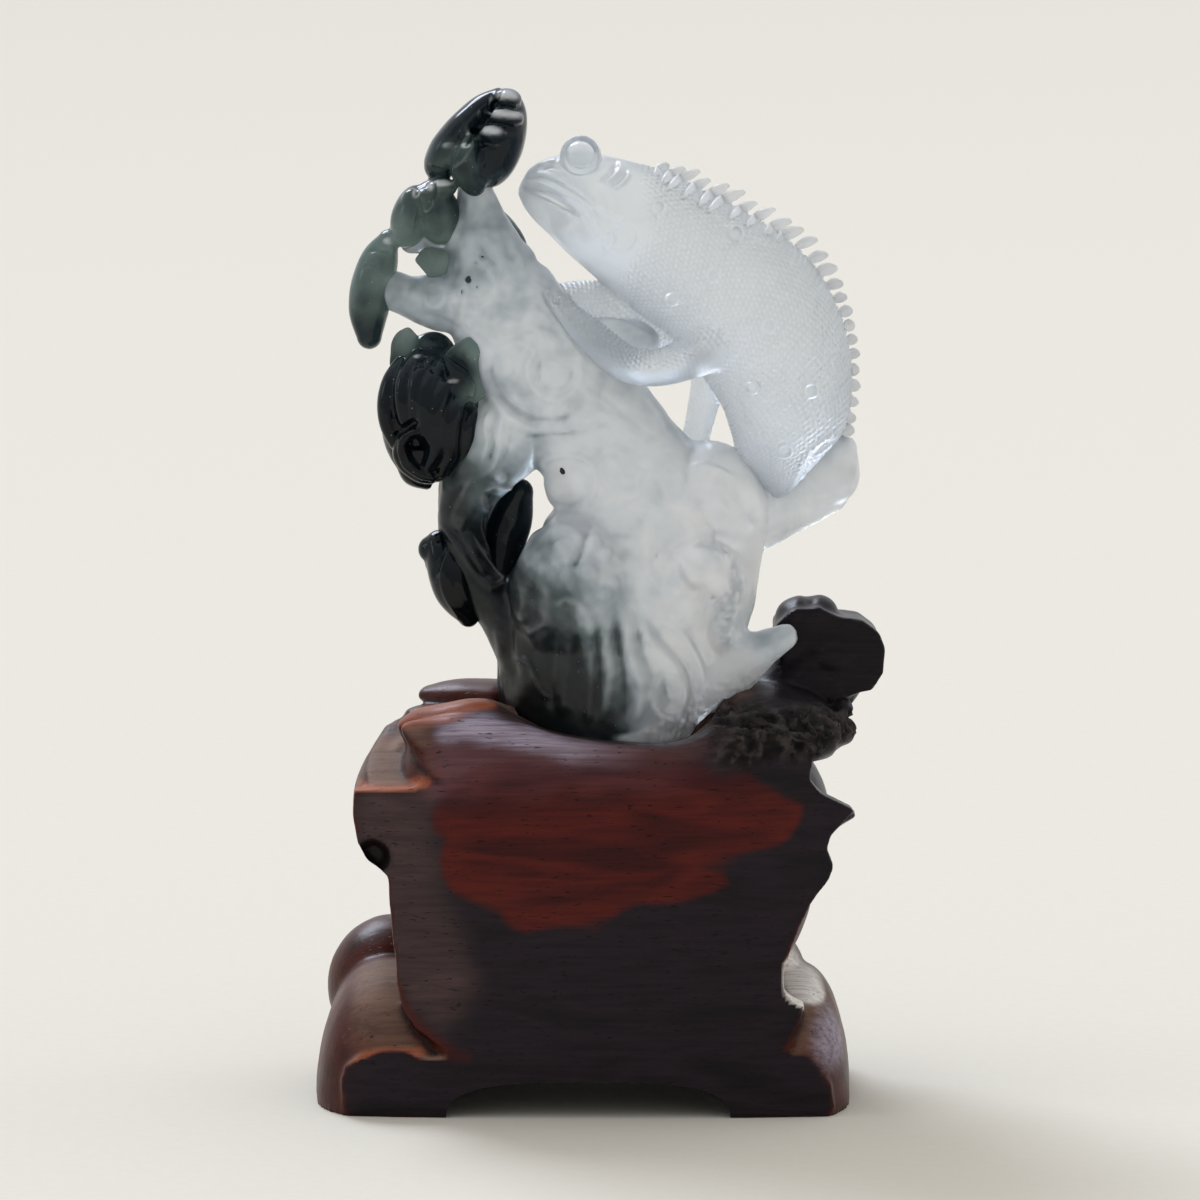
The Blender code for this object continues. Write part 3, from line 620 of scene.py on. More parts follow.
def new_material(name, plain):
    """A material whose shader has these plain values; also its nodes and that shader."""
    made = bpy.data.materials.new(name)
    made.use_nodes = True
    shader = made.node_tree.nodes["Principled BSDF"]
    for socket, value in plain.items():
        shader.inputs[socket].default_value = value
    return made, made.node_tree, shader


def wear(piece, material):
    """The piece is made of this material throughout."""
    piece.data.materials.clear()
    piece.data.materials.append(material)


# Oiled rosewood: satin, with long fine grain, open pores that catch dust and light, and worn edges
# rubbed back to orange. Real pores are 0.1 mm wide; they are drawn three times coarser to show.
rosewood, tree, shader = new_material("oiled_rosewood_satin", {"IOR": 1.5, "Specular IOR Level": 0.13})
place = add(tree, "TexCoord", out="Object")
long_grain = add(tree, "Mapping", {"Scale": (0.05, 1, 1)}, {"Vector": place})
short_grain = add(tree, "Mapping", {"Scale": (0.2, 1, 1)}, {"Vector": place})
fine = add(tree, "TexNoise", {"Scale": 900.0, "Detail": 4.0, "Roughness": 0.6}, {"Vector": long_grain})
broad = add(tree, "TexNoise", {"Scale": 110.0, "Detail": 3.0, "Distortion": 0.6}, {"Vector": short_grain})
pore = add(tree, "TexNoise", {"Scale": 1900.0, "Detail": 1.0}, {"Vector": short_grain})
flecks = add(tree, "TexNoise", {"Scale": 260.0, "Detail": 2.0}, {"Vector": place})
streaks = add(tree, "ValToRGB", {"stops": [(0.38, "#4a3230"), (0.58, "#ffffff")]}, {"Fac": fine})
pores = add(tree, "ValToRGB", {"stops": [(0.68, "#000000"), (0.74, "#ffffff")]}, {"Fac": pore})
# Among these masks, the sheen is a painted reflection, the pale patch on the right foot painted light, the
# crevice colour painted shade, and the handled and dusty colours partly painted light.
WOODS = [  # painted mask, how much it covers, the noise it varies with, and its colours
    ("brown_wood", 1.0, broad, [(0.3, "#3c2f2f"), (0.7, "#4c3a3a")]),
    ("plum", 0.85, broad, [(0.3, "#522f33"), (0.65, "#6e4a4e")]),
    ("heartwood", 1.0, broad, [(0.34, "#3a1010"), (0.5, "#561a14"), (0.66, "#401210")]),
    ("ember", 0.4, broad, [(0.34, "#521a13"), (0.66, "#5e2015")]),
    ("handled", 0.95, broad, [(0.3, "#35120b"), (0.6, "#4e1f13")]),
    ("dusty", 0.85, broad, [(0.3, "#6c5346"), (0.6, "#816756")]),
    ("sheen", 0.9, fine, [(0.3, "#877b8a"), (0.7, "#b0a5b4")]),
    ("worn", 0.75, broad, [(0.35, "#86442c"), (0.65, "#ad6244")]),
    ("bare", 1.0, fine, [(0.3, "#e4dad2"), (0.7, "#f4efe9")]),
    ("ebony", 1.0, fine, [(0.3, "#151015"), (0.7, "#1f181c")]),
    ("bark", 0.9, flecks, [(0.4, "#100e11"), (0.62, "#26211f")]),
    ("fibres", 0.6, flecks, [(0.4, "#35302f"), (0.62, "#554d4a")]),
    ("crevice", 0.8, fine, [(0.3, "#040303"), (0.7, "#080606")]),
]
dark_wood = [(0.3, "#181317"), (0.5, "#241b22"), (0.7, "#1a1418")]
colour = add(tree, "ValToRGB", {"stops": dark_wood}, {"Fac": broad})
for name, share, varies_with, stops in WOODS:
    wood = add(tree, "ValToRGB", {"stops": stops}, {"Fac": varies_with})
    shown = add(tree, "Attribute", {"attribute_name": name}, out="Fac")
    shown = add(tree, "Math", {"operation": "MULTIPLY", 1: share}, {0: shown})
    colour = add(tree, "Mix", {"data_type": "RGBA"}, {0: shown, 6: colour, 7: wood}, out=2)
multiplied = {"data_type": "RGBA", "blend_type": "MULTIPLY", 0: 0.25}
colour = add(tree, "Mix", multiplied, {6: colour, 7: streaks}, out=2)
open_pores = add(tree, "Math", {"operation": "MULTIPLY", 1: 0.7}, {0: pores})
colour = add(tree, "Mix", {"data_type": "RGBA", 7: linear("#050404")}, {0: open_pores, 6: colour}, out=2)
tree.links.new(colour, shader.inputs["Base Color"])
barked = add(tree, "Attribute", {"attribute_name": "bark"}, out="Fac")
rough = add(tree, "MapRange", {"To Min": 0.26, "To Max": 0.44}, {"Value": broad})
rough = add(tree, "Math", {"operation": "MULTIPLY_ADD", 1: 0.45}, {0: barked, 2: rough})
dull = add(tree, "Attribute", {"attribute_name": "dusty"}, out="Fac")
rough = add(tree, "Math", {"operation": "MULTIPLY_ADD", 1: 0.3}, {0: dull, 2: rough})
tree.links.new(rough, shader.inputs["Roughness"])
depth = add(tree, "Math", {"operation": "MULTIPLY_ADD", 1: -1.6}, {0: pores, 2: fine})
bump = add(tree, "Bump", {"Strength": 0.5, "Distance": 0.00012}, {"Height": depth})
tree.links.new(bump, shader.inputs["Normal"])

wear(stand, rosewood)
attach(stand, "root")
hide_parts("wood_stand")

# ------------------------------------------------------------------ the rock and the trunk
# The lower half of one rock crystal, clear at the right and smoky green-black at the left. It was
# cut with abrasive wheels into a rooted rock, a leaning trunk and its branches, and left frosted.

STONE_VOXEL = 0.68
TRUNK = [
    (-31.5, 0, 230.7, 4.3, 4.5), (-30.8, 0, 224.3, 5, 5.5), (-29, 0, 217.8, 7, 7.5),
    (-27.8, 0, 210.8, 10.5, 10), (-25.6, 0, 201.8, 14, 13), (-20.1, 0, 191.3, 16.1, 15),
    (-9.5, 0, 177.7, 17.1, 16), (0, 0, 165.2, 17.1, 17), (8.1, 0, 153.1, 18.6, 19),
    (13.9, 0, 142, 20.1, 21),
]
LEFT_BRANCH = [
    (-21.4, 0, 168.4, 11.3, 13), (-28.2, 0, 160.9, 10.6, 12), (-32.7, 0, 152.8, 8.3, 10),
    (-34.7, 0, 145.8, 6.3, 8.5), (-34.5, 0, 138.2, 6.3, 8.5), (-31.8, 0, 129.9, 6.1, 9),
    (-24.6, 0, 121.2, 6.4, 11), (-18.5, 0, 111.6, 7.6, 14),
]
LEAF_BRANCH = [
    (-32.6, 0, 198.5, 8.5, 10), (-41.4, 0, 199.3, 6.8, 7.5), (-48.9, 0, 201, 5.3, 6),
    (-53.6, 0, 202.8, 4.8, 5.5),
]
TAIL_ROOT = [
    (61, 2, 161.8, 4.4, 6), (59.6, 3, 157.6, 6.6, 7.5), (56.4, 4, 153.1, 7.3, 8.5),
    (52.1, 4, 149.8, 6.9, 9), (47.6, 4, 147, 6.4, 10), (42.3, 4, 144.4, 6.6, 11), (36.3, 4, 143, 7, 12),
]
TONGUE = [
    (22, -8, 102, 8.6, 10), (28.5, -9, 106, 8.2, 9), (36.5, -10, 110.6, 6.6, 7),
    (41.5, -10, 113.4, 5, 5.6), (46, -10, 115.8, 3.9, 4.6),
]
FRONT_ROOT = [
    (34, -2, 147, 9, 14), (32.3, -4, 137, 8.6, 13), (30.6, -5, 127, 8.7, 13), (27.8, -5, 116, 8.2, 13),
]
stone_forms = [
    tube(TRUNK, sides=48),
    tube(LEFT_BRANCH, sides=40),
    tube(LEAF_BRANCH, sides=32),
    tube([(-32.1, 0, 215.3, 5.5, 6), (-38.3, 0, 217.8, 6, 6), (-43.8, 0, 219.3, 6, 6)]),
    rock_foot(),
    egg((-12.9, -8, 182.5), (13.5, 9, 13.5)),
    egg((3.0, -1, 189.5), (12.0, 10, 6.5)),
    egg((-7.7, -5, 153.4), (6.6, 7.5, 6.4)),
    egg((-5.5, -12, 127.3), (17.0, 17.5, 19.4)),
    egg((26.9, 0, 150.3), (14.6, 17, 14.1)),
    egg((17.5, -9, 124.0), (12.5, 15, 14.0)),
    egg((23.8, -17, 131.6), (8.2, 7, 8.6)),
    egg((37.0, 3, 145.6), (10.5, 12, 9.6), lean=-25),
    tube(FRONT_ROOT),
    tube(TAIL_ROOT, sides=40),
    tube(TONGUE, sides=40),
    egg((-46.2, 0, 215.4), (4.4, 4.5, 4.6)),
]
stone = one_skin(joined("rock_and_trunk", stone_forms), STONE_VOXEL, 30)

# Carved lines on the front: height or depth, half width, then x and z of each point, in mm
TRUNK_LINES = [
    (1, 1.2, -28.2, 186.5, -29.2, 180.7, -25, 173.2, -18.5, 168.5, -10.1, 168.4, -4.2, 170.8),
    (-0.7, 1.1, -26.2, 186.5, -26.9, 180.7, -23, 174.5, -17.2, 170.8, -10.1, 170.8, -5.2, 173.2),
    (0.8, 1, -16.2, 187.1, -17.7, 183.3, -16.5, 178.7, -12.3, 175.6, -7.5, 176.8, -4.9, 180.7,
     -5.5, 185.2),
    (-0.5, 0.8, -14.6, 185.8, -15.2, 182, -13.3, 178.7, -9.4, 178.4, -7.2, 181, -7.5, 184.5),
    (0.6, 0.7, -24.7, 193.3, -19.1, 194.2, -15.3, 192.3, -13.7, 189.2),
    (0.5, 0.6, -23.8, 187.6, -21, 189.2, -17.2, 188.5, -15.9, 186),
    (-0.6, 0.7, -14.3, 202.4, -11.2, 197.9, -9, 194.2),
    (0.6, 0.8, -15.3, 201.1, -9.6, 192.3, -6.4, 187.9, -3.9, 184.1),
    (0.5, 0.8, -19.2, 167.9, -13.3, 169.2, -5.5, 169.2, 1.6, 172.8),
    (-0.5, 0.8, -18.5, 166.3, -11.4, 167, -3.6, 167.6, 3.5, 170.2),
    (0.4, 1, -4.9, 186.4, 0.3, 181.9, 5.5, 179.3, 9.4, 174.1, 14.6, 168.9, 19.8, 165),
    (-0.4, 1, -3.6, 179.9, 2.2, 175.4, 7.4, 170.9, 13.3, 166.3),
    (-0.35, 0.8, 1.6, 165, 6.8, 163.1, 10, 157.9),
    (0.35, 1, -3.6, 163.7, 4.2, 159.8, 6.8, 154),
    (0.6, 0.7, -14.7, 157.2, -12.7, 160.4, -7.5, 161.7, -2.3, 159.8, -0.7, 155.2, -2.3, 150.6, -4.3, 148),
    (-0.6, 0.7, -13.4, 151.3, -10.8, 148.7, -6.9, 148.7, -3.6, 151.3),
    (-0.5, 0.8, -36, 223.5, -38.2, 215.6, -38.7, 212),
    (0.4, 1.2, -32, 226.2, -33.3, 219.1, -33.3, 213.4),
    (-0.35, 1, -28.4, 223.5, -30.2, 217.8, -28.9, 212, -24.5, 207.6),
    (0.35, 0.9, -27.1, 216.5, -23.1, 215.6, -20.5, 211.2, -19.2, 206.7),
    (0.35, 0.6, -43.1, 202.3, -42.2, 203.6, -40, 203.6, -38.7, 201.4, -39.6, 198.8, -41.8, 198.1,
     -43.4, 199.9, -43.1, 202.3),
    (-0.3, 0.8, -45.8, 204.1, -47.6, 201.4, -47.1, 198.3),
    (0.3, 0.8, -37.8, 201.9, -34.3, 197.4, -28.9, 197),
    (-0.3, 0.8, -45.8, 195.7, -40.5, 195.2, -35.2, 193.4, -29.4, 190.8),
]
BRANCH_LINES = [
    (0.6, 0.7, -27.4, 172.8, -28.5, 168.7, -28, 164.6, -29.2, 160.6),
    (-0.5, 0.6, -25.8, 172.2, -26.9, 168.2, -26.5, 164.1, -27.4, 160),
    (0.5, 0.7, -24.1, 171.7, -24.8, 166.7, -25.1, 162.6, -27.1, 157.5),
    (-0.4, 0.7, -22, 169.7, -22.6, 164.6, -24.1, 159.5),
    (0.8, 0.7, -28.9, 152.4, -26.1, 153.7, -22.6, 152.7, -20, 150.9),
    (-1, 0.9, -28.1, 150.4, -26.4, 151, -24.6, 150.1),
    (0.7, 0.7, -29.4, 151.9, -29.2, 148.6, -26.4, 146.5, -22.6, 148.1),
    (0.5, 0.9, -32.2, 155.5, -34.3, 151.9, -36.3, 146.8, -34.8, 141.7),
    (-0.5, 0.8, -34.3, 154.4, -36.3, 150.4, -37.3, 146.3),
    (0.7, 0.6, -39.9, 143.7, -35.9, 138.6, -32.3, 132.9, -27.5, 128.2, -22.9, 129.6),
    (-0.6, 0.7, -37.9, 143.7, -34.3, 139.1, -30.8, 133.7, -27, 129.4),
    (0.5, 0.6, -34.9, 141.1, -31.8, 136.5, -28.5, 131.9),
    (-0.4, 0.8, -32.3, 143.7, -29.8, 139.1, -28, 134),
    (0.5, 0.8, -36.3, 146.3, -34.3, 144.8, -35.3, 142.2),
]
ROCK_LINES = [
    (0.5, 0.5, -12.3, 145.5, -8.7, 146.8, -4.9, 145.9, -2.3, 143.6),
    (-0.45, 0.5, -12, 143.6, -8.7, 145.2, -5.5, 144.3, -3.6, 142.3),
    (0.45, 0.5, -11.6, 142, -8.7, 143.3, -6.2, 142.6, -4.5, 140.7),
    (-0.4, 0.5, -11, 140.4, -8.7, 141.5, -6.8, 140.9, -5.5, 139.1),
    (-1.2, 0.9, -2, 144.8, -3.9, 140.7, -5.2, 137.1, -6.8, 134.6),
    (0.9, 1.3, -10.7, 140.4, -8.1, 137.8, -7.8, 135.2),
    (-0.6, 1, -13.2, 139.1, -12, 135.2, -8.7, 133.3),
    (0.7, 0.8, -22.9, 135.1, -21.3, 133.3, -19.8, 130.7, -19.2, 129.1),
    (0.6, 0.9, 11.9, 138.3, 12.1, 133.8, 14.2, 129.5, 17.4, 129.1),
    (-0.5, 0.9, 13.5, 138.9, 13.9, 134.4, 15.8, 131.2),
    (0.9, 1.6, -18.4, 130, -18.7, 124.8, -20, 120.3),
    (0.9, 1.6, -13.6, 130.7, -12.3, 125.5, -13.3, 120.3, -15.2, 115.8),
    (-0.9, 1.3, -15.8, 130, -15.2, 124.8, -17.1, 119.7),
    (0.9, 1.2, -10.7, 124.6, -8.7, 126.9, -5.5, 125.9, -2.9, 122.3, -2, 117.2),
    (-0.9, 1.3, -8.7, 123.6, -6.2, 121.1, -5.2, 115.2, -5.5, 109.4),
    (1.3, 1.4, 2.2, 123.1, 1.6, 117.3, 2.5, 110.8, 1.9, 104.3, 0.9, 97.8),
    (-1.2, 1.3, 4.5, 121.8, 4.8, 116, 5.8, 109.5, 6.1, 102.3, 5.5, 95.9),
    (1.3, 1.4, 6.7, 121.1, 7.7, 114, 10, 106.9, 10, 101, 8.7, 95.9),
    (-1.1, 1.2, 9.3, 119.8, 10.9, 113.4, 12.9, 108.2, 12.9, 102.3),
    (1.2, 1.3, 10.6, 121.1, 12.9, 116, 17.1, 111.4, 20.3, 106.9, 21.6, 102.3),
    (-1.2, 1.1, 13.5, 119.8, 16.4, 116, 20.3, 111.4, 22.9, 106.2, 22.6, 101),
    (1.1, 1.3, 14.8, 121.3, 19, 118.7, 22.6, 113.8, 24.8, 108.6, 25.2, 103.4),
    (-0.8, 1.1, 21.6, 119.5, 24.9, 113.6, 27.5, 107.8),
    (1.2, 1.1, 14.8, 107.5, 13.2, 103.6, 15.5, 98.5, 19, 98.1, 20.9, 101.7, 19.3, 105.6, 16.4, 108.2),
    (-1.5, 1.3, 16.4, 105.9, 17.1, 102.3, 18.7, 100.1),
    (0.9, 1.2, -2.3, 115.3, -2, 108.8, -2.3, 102.3, -2.9, 95.9),
    (-0.9, 1.2, 0, 119.8, -0.4, 113.4, 0, 106.2, -1, 98.5),
    (0.9, 1.4, -7.4, 116.6, -7.8, 110.8, -8.7, 104.3, -9.1, 97.8),
    (-0.8, 1.2, -11.3, 118.6, -12, 112.1, -12.3, 105.6, -12, 99.1),
    (0.8, 0.7, -21.3, 111.3, -18.1, 110.4, -15.9, 106.8, -14.6, 103.5, -12.3, 101.6),
    (-0.8, 1.2, -22.9, 118.5, -22.3, 112, -21, 106.1),
    (0.8, 1.2, -25.5, 118.5, -24.9, 112, -23, 105.5),
    (0.8, 0.9, -17.5, 117.8, -14.5, 120.4, -12.3, 121.1),
]
TAIL_BAND = [
    (1, 2.3, 26.6, 139.2, 29.6, 137.6, 32.4, 134.4, 33.4, 130.4, 32.4, 126.4, 30.9, 122.4, 30.4, 118.4,
     32, 115.2, 34.6, 113.4),
]
KNOB_LINES = [
    (0.5, 0.9, 19.7, 156.7, 23.6, 158.6, 28.2, 158.3, 32.7, 156),
    (-0.4, 0.9, 20.4, 154.1, 24.3, 156, 28.8, 155.4, 32.7, 152.8),
    (0.35, 1.2, 14.6, 151.5, 19.8, 148.9, 25.6, 148.9, 32.1, 147.6),
    (-0.3, 1.2, 17.2, 146.3, 22.4, 144.3, 28.2, 145),
    (0.35, 1.2, 27.5, 151.5, 34, 146.3, 39.2, 143.7),
    (-0.3, 1.2, 30.1, 152.8, 36.6, 147.6, 41.2, 145.6),
]
LUMPS = [  # x, z, radius and height of soft buds on the front of the rock, and a wart on the tail
    (-9, 141.6, 6.5, 1.3), (-1.4, 140.4, 2.9, 1), (1.4, 137.8, 2.3, 0.6), (-2.8, 133.4, 3.2, 1.1),
    (1.2, 128, 2.6, 0.5), (3.5, 131, 2.2, 0.4), (23.8, 133, 5, 0.8), (-24.5, 156, 2.2, 0.8),
    (51.9, 154, 1.8, 0.6),
]


def smoke(points, places, reach=3.0):
    """How smoky the crystal is at each point, blended from places of x, y, z and amount."""
    total = np.zeros(len(points))
    weight = np.zeros(len(points))
    for x, y, z, amount in places:
        near = 1 / (((points - (x, y, z)) ** 2).sum(1) + reach**2) ** 2
        total += near * amount
        weight += near
    return total / weight


SMOKE = [
    (-25, 225, 0.26), (-32, 219, 0.36), (-40, 207, 0.42), (-50, 202, 0.42), (-30, 198, 0.24),
    (-12, 193, 0.15), (-10, 178, 0.15), (5, 170, 0.14), (25, 155, 0.08), (12, 160, 0.13), (0, 158, 0.13),
    (-25, 168, 0.16), (-22, 155, 0.4), (-30, 150, 0.66), (-34, 140, 0.92), (-30, 128, 1),
    (-25, 125, 0.97), (-17, 139, 0.5), (-36, 156, 0.7), (-38, 148, 0.85), (-14, 140, 0.5), (-8, 145, 0.1),
    (-7, 141, 0.16), (-3, 141, 0.16), (3, 142, 0.14), (2, 136, 0.16), (-8, 133, 0.42), (-8, 153, 0.02),
    (-20, 130, 0.82), (-10, 125, 0.7), (0, 125, 0.34), (12, 135, 0.06), (25, 145, 0.03), (35, 135, 0),
    (25, 125, 0.02), (10, 120, 0.14), (0, 115, 0.5), (-10, 115, 0.88), (-20, 115, 1), (-25, 105, 1),
    (-15, 103, 1), (-5, 103, 0.92), (4, 103, 0.54), (13, 103, 0.16), (23, 103, 0), (30, 113, 0),
    (0, 94, 0.75), (-10, 97, 0.97), (15, 92, 0.12), (30, 100, 0.02), (42, 116, 0.26), (36, 109, 0),
    (18, 112, 0.02), (-42, 158, 0.7), (-37, 165, 0.4), (58, 156, 0.08), (50, 148, 0.06), (40, 145, 0.04),
]

CHIPPED_EDGE = [  # x and z of the rough break along the rock's lower edge
    (3.6, 92.9), (9.1, 93.5), (13.6, 95.7), (18.6, 97.9), (23, 100.7), (25.8, 103), (30, 106),
]
points, facing = points_of(stone)
x, y, z = points.T
front = np.clip(-facing[:, 1] * 2, 0, 1)
raised = relief(points, facing, TRUNK_LINES + BRANCH_LINES + KNOB_LINES, 0.7)
raised += 0.7 * relief(points, facing, ROCK_LINES, 0.5)
raised += domes(points, facing, LUMPS)
rooted = 1 - ease(112, 124, z)
around = np.arctan2(y + 2, x - 3)
folds = np.cos(15 * around + 3.5 * swell(points * [1, 1, 0.35], 16.0) + 0.05 * z)
raised += 0.85 * folds * rooted * (1 - front)
swirls = np.cos(math.tau * (1.6 * swell(points, 15.0) + (0.6 * x + z) / 21))
raised += 0.22 * swirls * (1 - rooted) + 0.3 * swell(points, 8.0, 2.0) + 0.1 * swell(points, 2.6, 4.0)
on_tongue = ease(29, 33, x) * ease(121, 118, z) * ease(97, 100, z)
raised += 0.14 * on_tongue * swell(points, 1.1, 2.0)
stipple = ease(-0.1, 0.3, swell(points, 1.5, 12.0))
tail_band = relief(points, facing, TAIL_BAND, 0)
raised += tail_band * (1.4 + 0.55 * stipple)
chipped_edge_and_lit_side = np.interp(x, *np.array(CHIPPED_EDGE).T)
broken = ease(-0.4, 0.8, chipped_edge_and_lit_side + 0.6 * swell(points, 2.5, 3.0) - z) * ease(2, 7, x)
raised += broken * (0.5 * np.abs(swell(points, 2.2, 9.0)) + 0.3 * swell(points, 1.2, 1.0))
in_seat = ease(86, 91, z)
points = points + facing * (raised * in_seat)[:, None]
move_points(stone, points)

left_behind = 0.13 * swell(points, 7.0, 6.0) + 0.06 * swell(points, 2.2, 8.0)
flat = points * [1, 0, 1]
dark = smoke(flat, [(x, 0, z, amount) for x, z, amount in SMOKE])
dark = dark + left_behind * np.clip(4 * dark * (1 - dark) + 0.25, 0, 1)
# Painted shade: hollows are made smokier, and so is the tail band between its raised stipple.
dark = (dark + 0.22 * ease(0.05, 0.5, -proud(stone, 5)) * ease(0.05, 0.3, dark)) * (1 - 0.9 * broken)
paint(stone, "smoke", dark + 0.22 * tail_band * (1 - stipple))
# Painted highlights on edges that stand proud and on the stipple's tops, with the chipped edge frosted
# white; painted shade in hollows.
stands_proud = proud(stone, 8)
shown = ease(0.05, 0.45, stands_proud) * (1 - 0.92 * ease(0.3, 0.9, dark))
paint(stone, "rim", np.max([shown, broken, 1.6 * tail_band * stipple], axis=0))
paint(stone, "hollow", ease(0.05, 0.5, -stands_proud) * (0.25 + 0.75 * ease(0.05, 0.35, dark)))

# Rock crystal: the same quartz is near black and glossy where it holds green-black smoke, and
# milky white where it is frosted. Frosting by wheel and grit scatters light at the skin, so what
# lies behind shows only as soft light. Clouds are 9 mm across, painted glints 0.3 mm.
QUARTZ_IOR = 1.544
STAINS = [
    (0.0, "#fdfeff"), (0.15, "#eaeff3"), (0.34, "#b8c3c9"), (0.56, "#5e6b6d"), (0.78, "#1d2628"),
    (1.0, "#070b0d"),
]


def crystal_finish(name, roughness, see_through, stains, frost, whiter=0.35, darker=0.25, shine=0.5):
    """Quartz with stains where it is smoky. Edges get painted highlights and hollows painted shade, by those
    shares.
    """
    plain = {"IOR": QUARTZ_IOR, "Roughness": roughness, "Specular IOR Level": shine}
    plain["Transmission Weight"] = see_through
    made, tree, shader = new_material(name, plain)
    place = add(tree, "TexCoord", out="Object")
    cloud = add(tree, "TexNoise", {"Scale": 110.0, "Detail": 4.0, "Distortion": 1.2}, {"Vector": place})
    glint_specks = add(tree, "TexVoronoi", {"Scale": 420.0}, {"Vector": place})
    smoky = add(tree, "Attribute", {"attribute_name": "smoke"}, out="Fac")
    ranges = {"From Min": 0.3, "From Max": 0.7, "To Min": -0.05, "To Max": 0.05}
    drift = add(tree, "MapRange", ranges, {"Value": cloud})
    stain = add(tree, "Math", {"operation": "ADD"}, {0: smoky, 1: drift})
    colour = add(tree, "ValToRGB", {"stops": stains}, {"Fac": stain})
    milk = add(tree, "ValToRGB", {"stops": [(0.5, "#000000"), (0.72, "#ffffff")]}, {"Fac": cloud})
    unstained = add(tree, "Math", {"operation": "SUBTRACT", "use_clamp": True, 0: 1.0}, {1: stain})
    milk = add(tree, "Math", {"operation": "MULTIPLY"}, {0: milk, 1: unstained})
    glints = add(tree, "ValToRGB", {"stops": [(0.03, "#ffffff"), (0.07, "#000000")]}, {"Fac": glint_specks})
    rim = add(tree, "Attribute", {"attribute_name": "rim"}, out="Fac")
    hollow = add(tree, "Attribute", {"attribute_name": "hollow"}, out="Fac")
    # Painted light and shade: edges whiter as painted highlights, hollows darker as painted shade, white
    # specks as painted glints.
    for shown, share, tone in (
        (milk, 0.07, "#869496"),
        (hollow, darker, "#161d1f"),
        (rim, whiter, "#f8fbfd"),
        (glints, 0.4, "#f4f7f8"),
    ):
        amount = add(tree, "Math", {"operation": "MULTIPLY", 1: share}, {0: shown})
        colour = add(tree, "Mix", {"data_type": "RGBA", 7: linear(tone)}, {0: amount, 6: colour}, out=2)
    tree.links.new(colour, shader.inputs["Base Color"])
    grit = add(tree, "TexNoise", {"Scale": 1500.0, "Detail": 2.0}, {"Vector": place})
    bump = add(tree, "Bump", {"Strength": frost, "Distance": 0.0001}, {"Height": grit})
    tree.links.new(bump, shader.inputs["Normal"])
    return made


frosted = crystal_finish("frosted_smoky_crystal", 0.3, 0.45, STAINS, 0.4, shine=0.12)
wear(stone, frosted)
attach(stone, "root")
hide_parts("quartz_carving")

# ------------------------------------------------------------------ what is sealed in the stone
# Dark grains of tourmaline that the crystal grew round, just under the skin of the trunk, which
# the carver left where they lay.

GRAINS = [  # x, y, z and size
    (-29.3, -9, 210.4, 0.9), (-30.6, -9.2, 209, 0.6), (-32.5, -9.6, 204.7, 1.1), (-34, -9.2, 202, 0.8),
    (-30.3, -11.2, 203.2, 0.45), (-28.2, -10.4, 206.8, 0.4), (-9.5, -12.6, 157.6, 0.9),
    (-28.9, -9.5, 157.7, 0.5), (14, -20, 137, 0.5), (27.5, -18.5, 127.5, 0.6),
]
grain_forms = []
for n, (gx, gy, gz, size) in enumerate(GRAINS):
    grain_form = egg((gx, gy, gz), (size, 0.7 * size, 0.75 * size), lean=37 * n, sides=14)
    knocks = swell(grain_form.reshape(-1, 3), 0.9).reshape(grain_form.shape[:2])
    grain_forms.append(grain_form + (grain_form - (gx, gy, gz)) * 0.5 * knocks[..., None])
grains = joined("sealed_grains", grain_forms)
tourmaline, tree, shader = new_material("black_tourmaline_grains", {"Roughness": 0.45})
specks = add(tree, "TexNoise", {"Scale": 2500.0}, {"Vector": add(tree, "TexCoord", out="Object")})
black = add(tree, "ValToRGB", {"stops": [(0.4, "#0d1211"), (0.7, "#27302c")]}, {"Fac": specks})
tree.links.new(black, shader.inputs["Base Color"])
wear(grains, tourmaline)
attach(grains, "root")
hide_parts("quartz_carving")

# ------------------------------------------------------------------ the fungus caps
# Fungus caps and leaves along the left edge, cut where the crystal is darkest. They are fluted
# and curled, undercut behind, and polished, so they shine where the trunk beside them is dull, with
# reflections also painted on their crowns.

CAP_VOXEL = 0.44
TOP_CAP = (-25.5, -1, 240.2), (6.9, 9.5, 12.7)  # the largest cap's middle and radii
SHELL = (-42.6, -3, 171.2), (12.4, 11, 17.4)


def laid(line, form, width, depth, sink=0.0):
    """Rows of a tube that lies on the front of an egg-shaped form along a line of x and z."""
    (cx, cy, cz), (rx, ry, rz) = form
    rows = []
    for n, (x, z) in enumerate(line):
        off = min(0.93, ((x - cx) / rx) ** 2 + ((z - cz) / rz) ** 2)
        taper = 0.55 + 0.45 * math.sin(math.pi * (n + 0.5) / len(line))
        rows.append((x, cy - ry * math.sqrt(1 - off) + sink, z, width * taper, depth * taper))
    return tube(rows, sides=24)


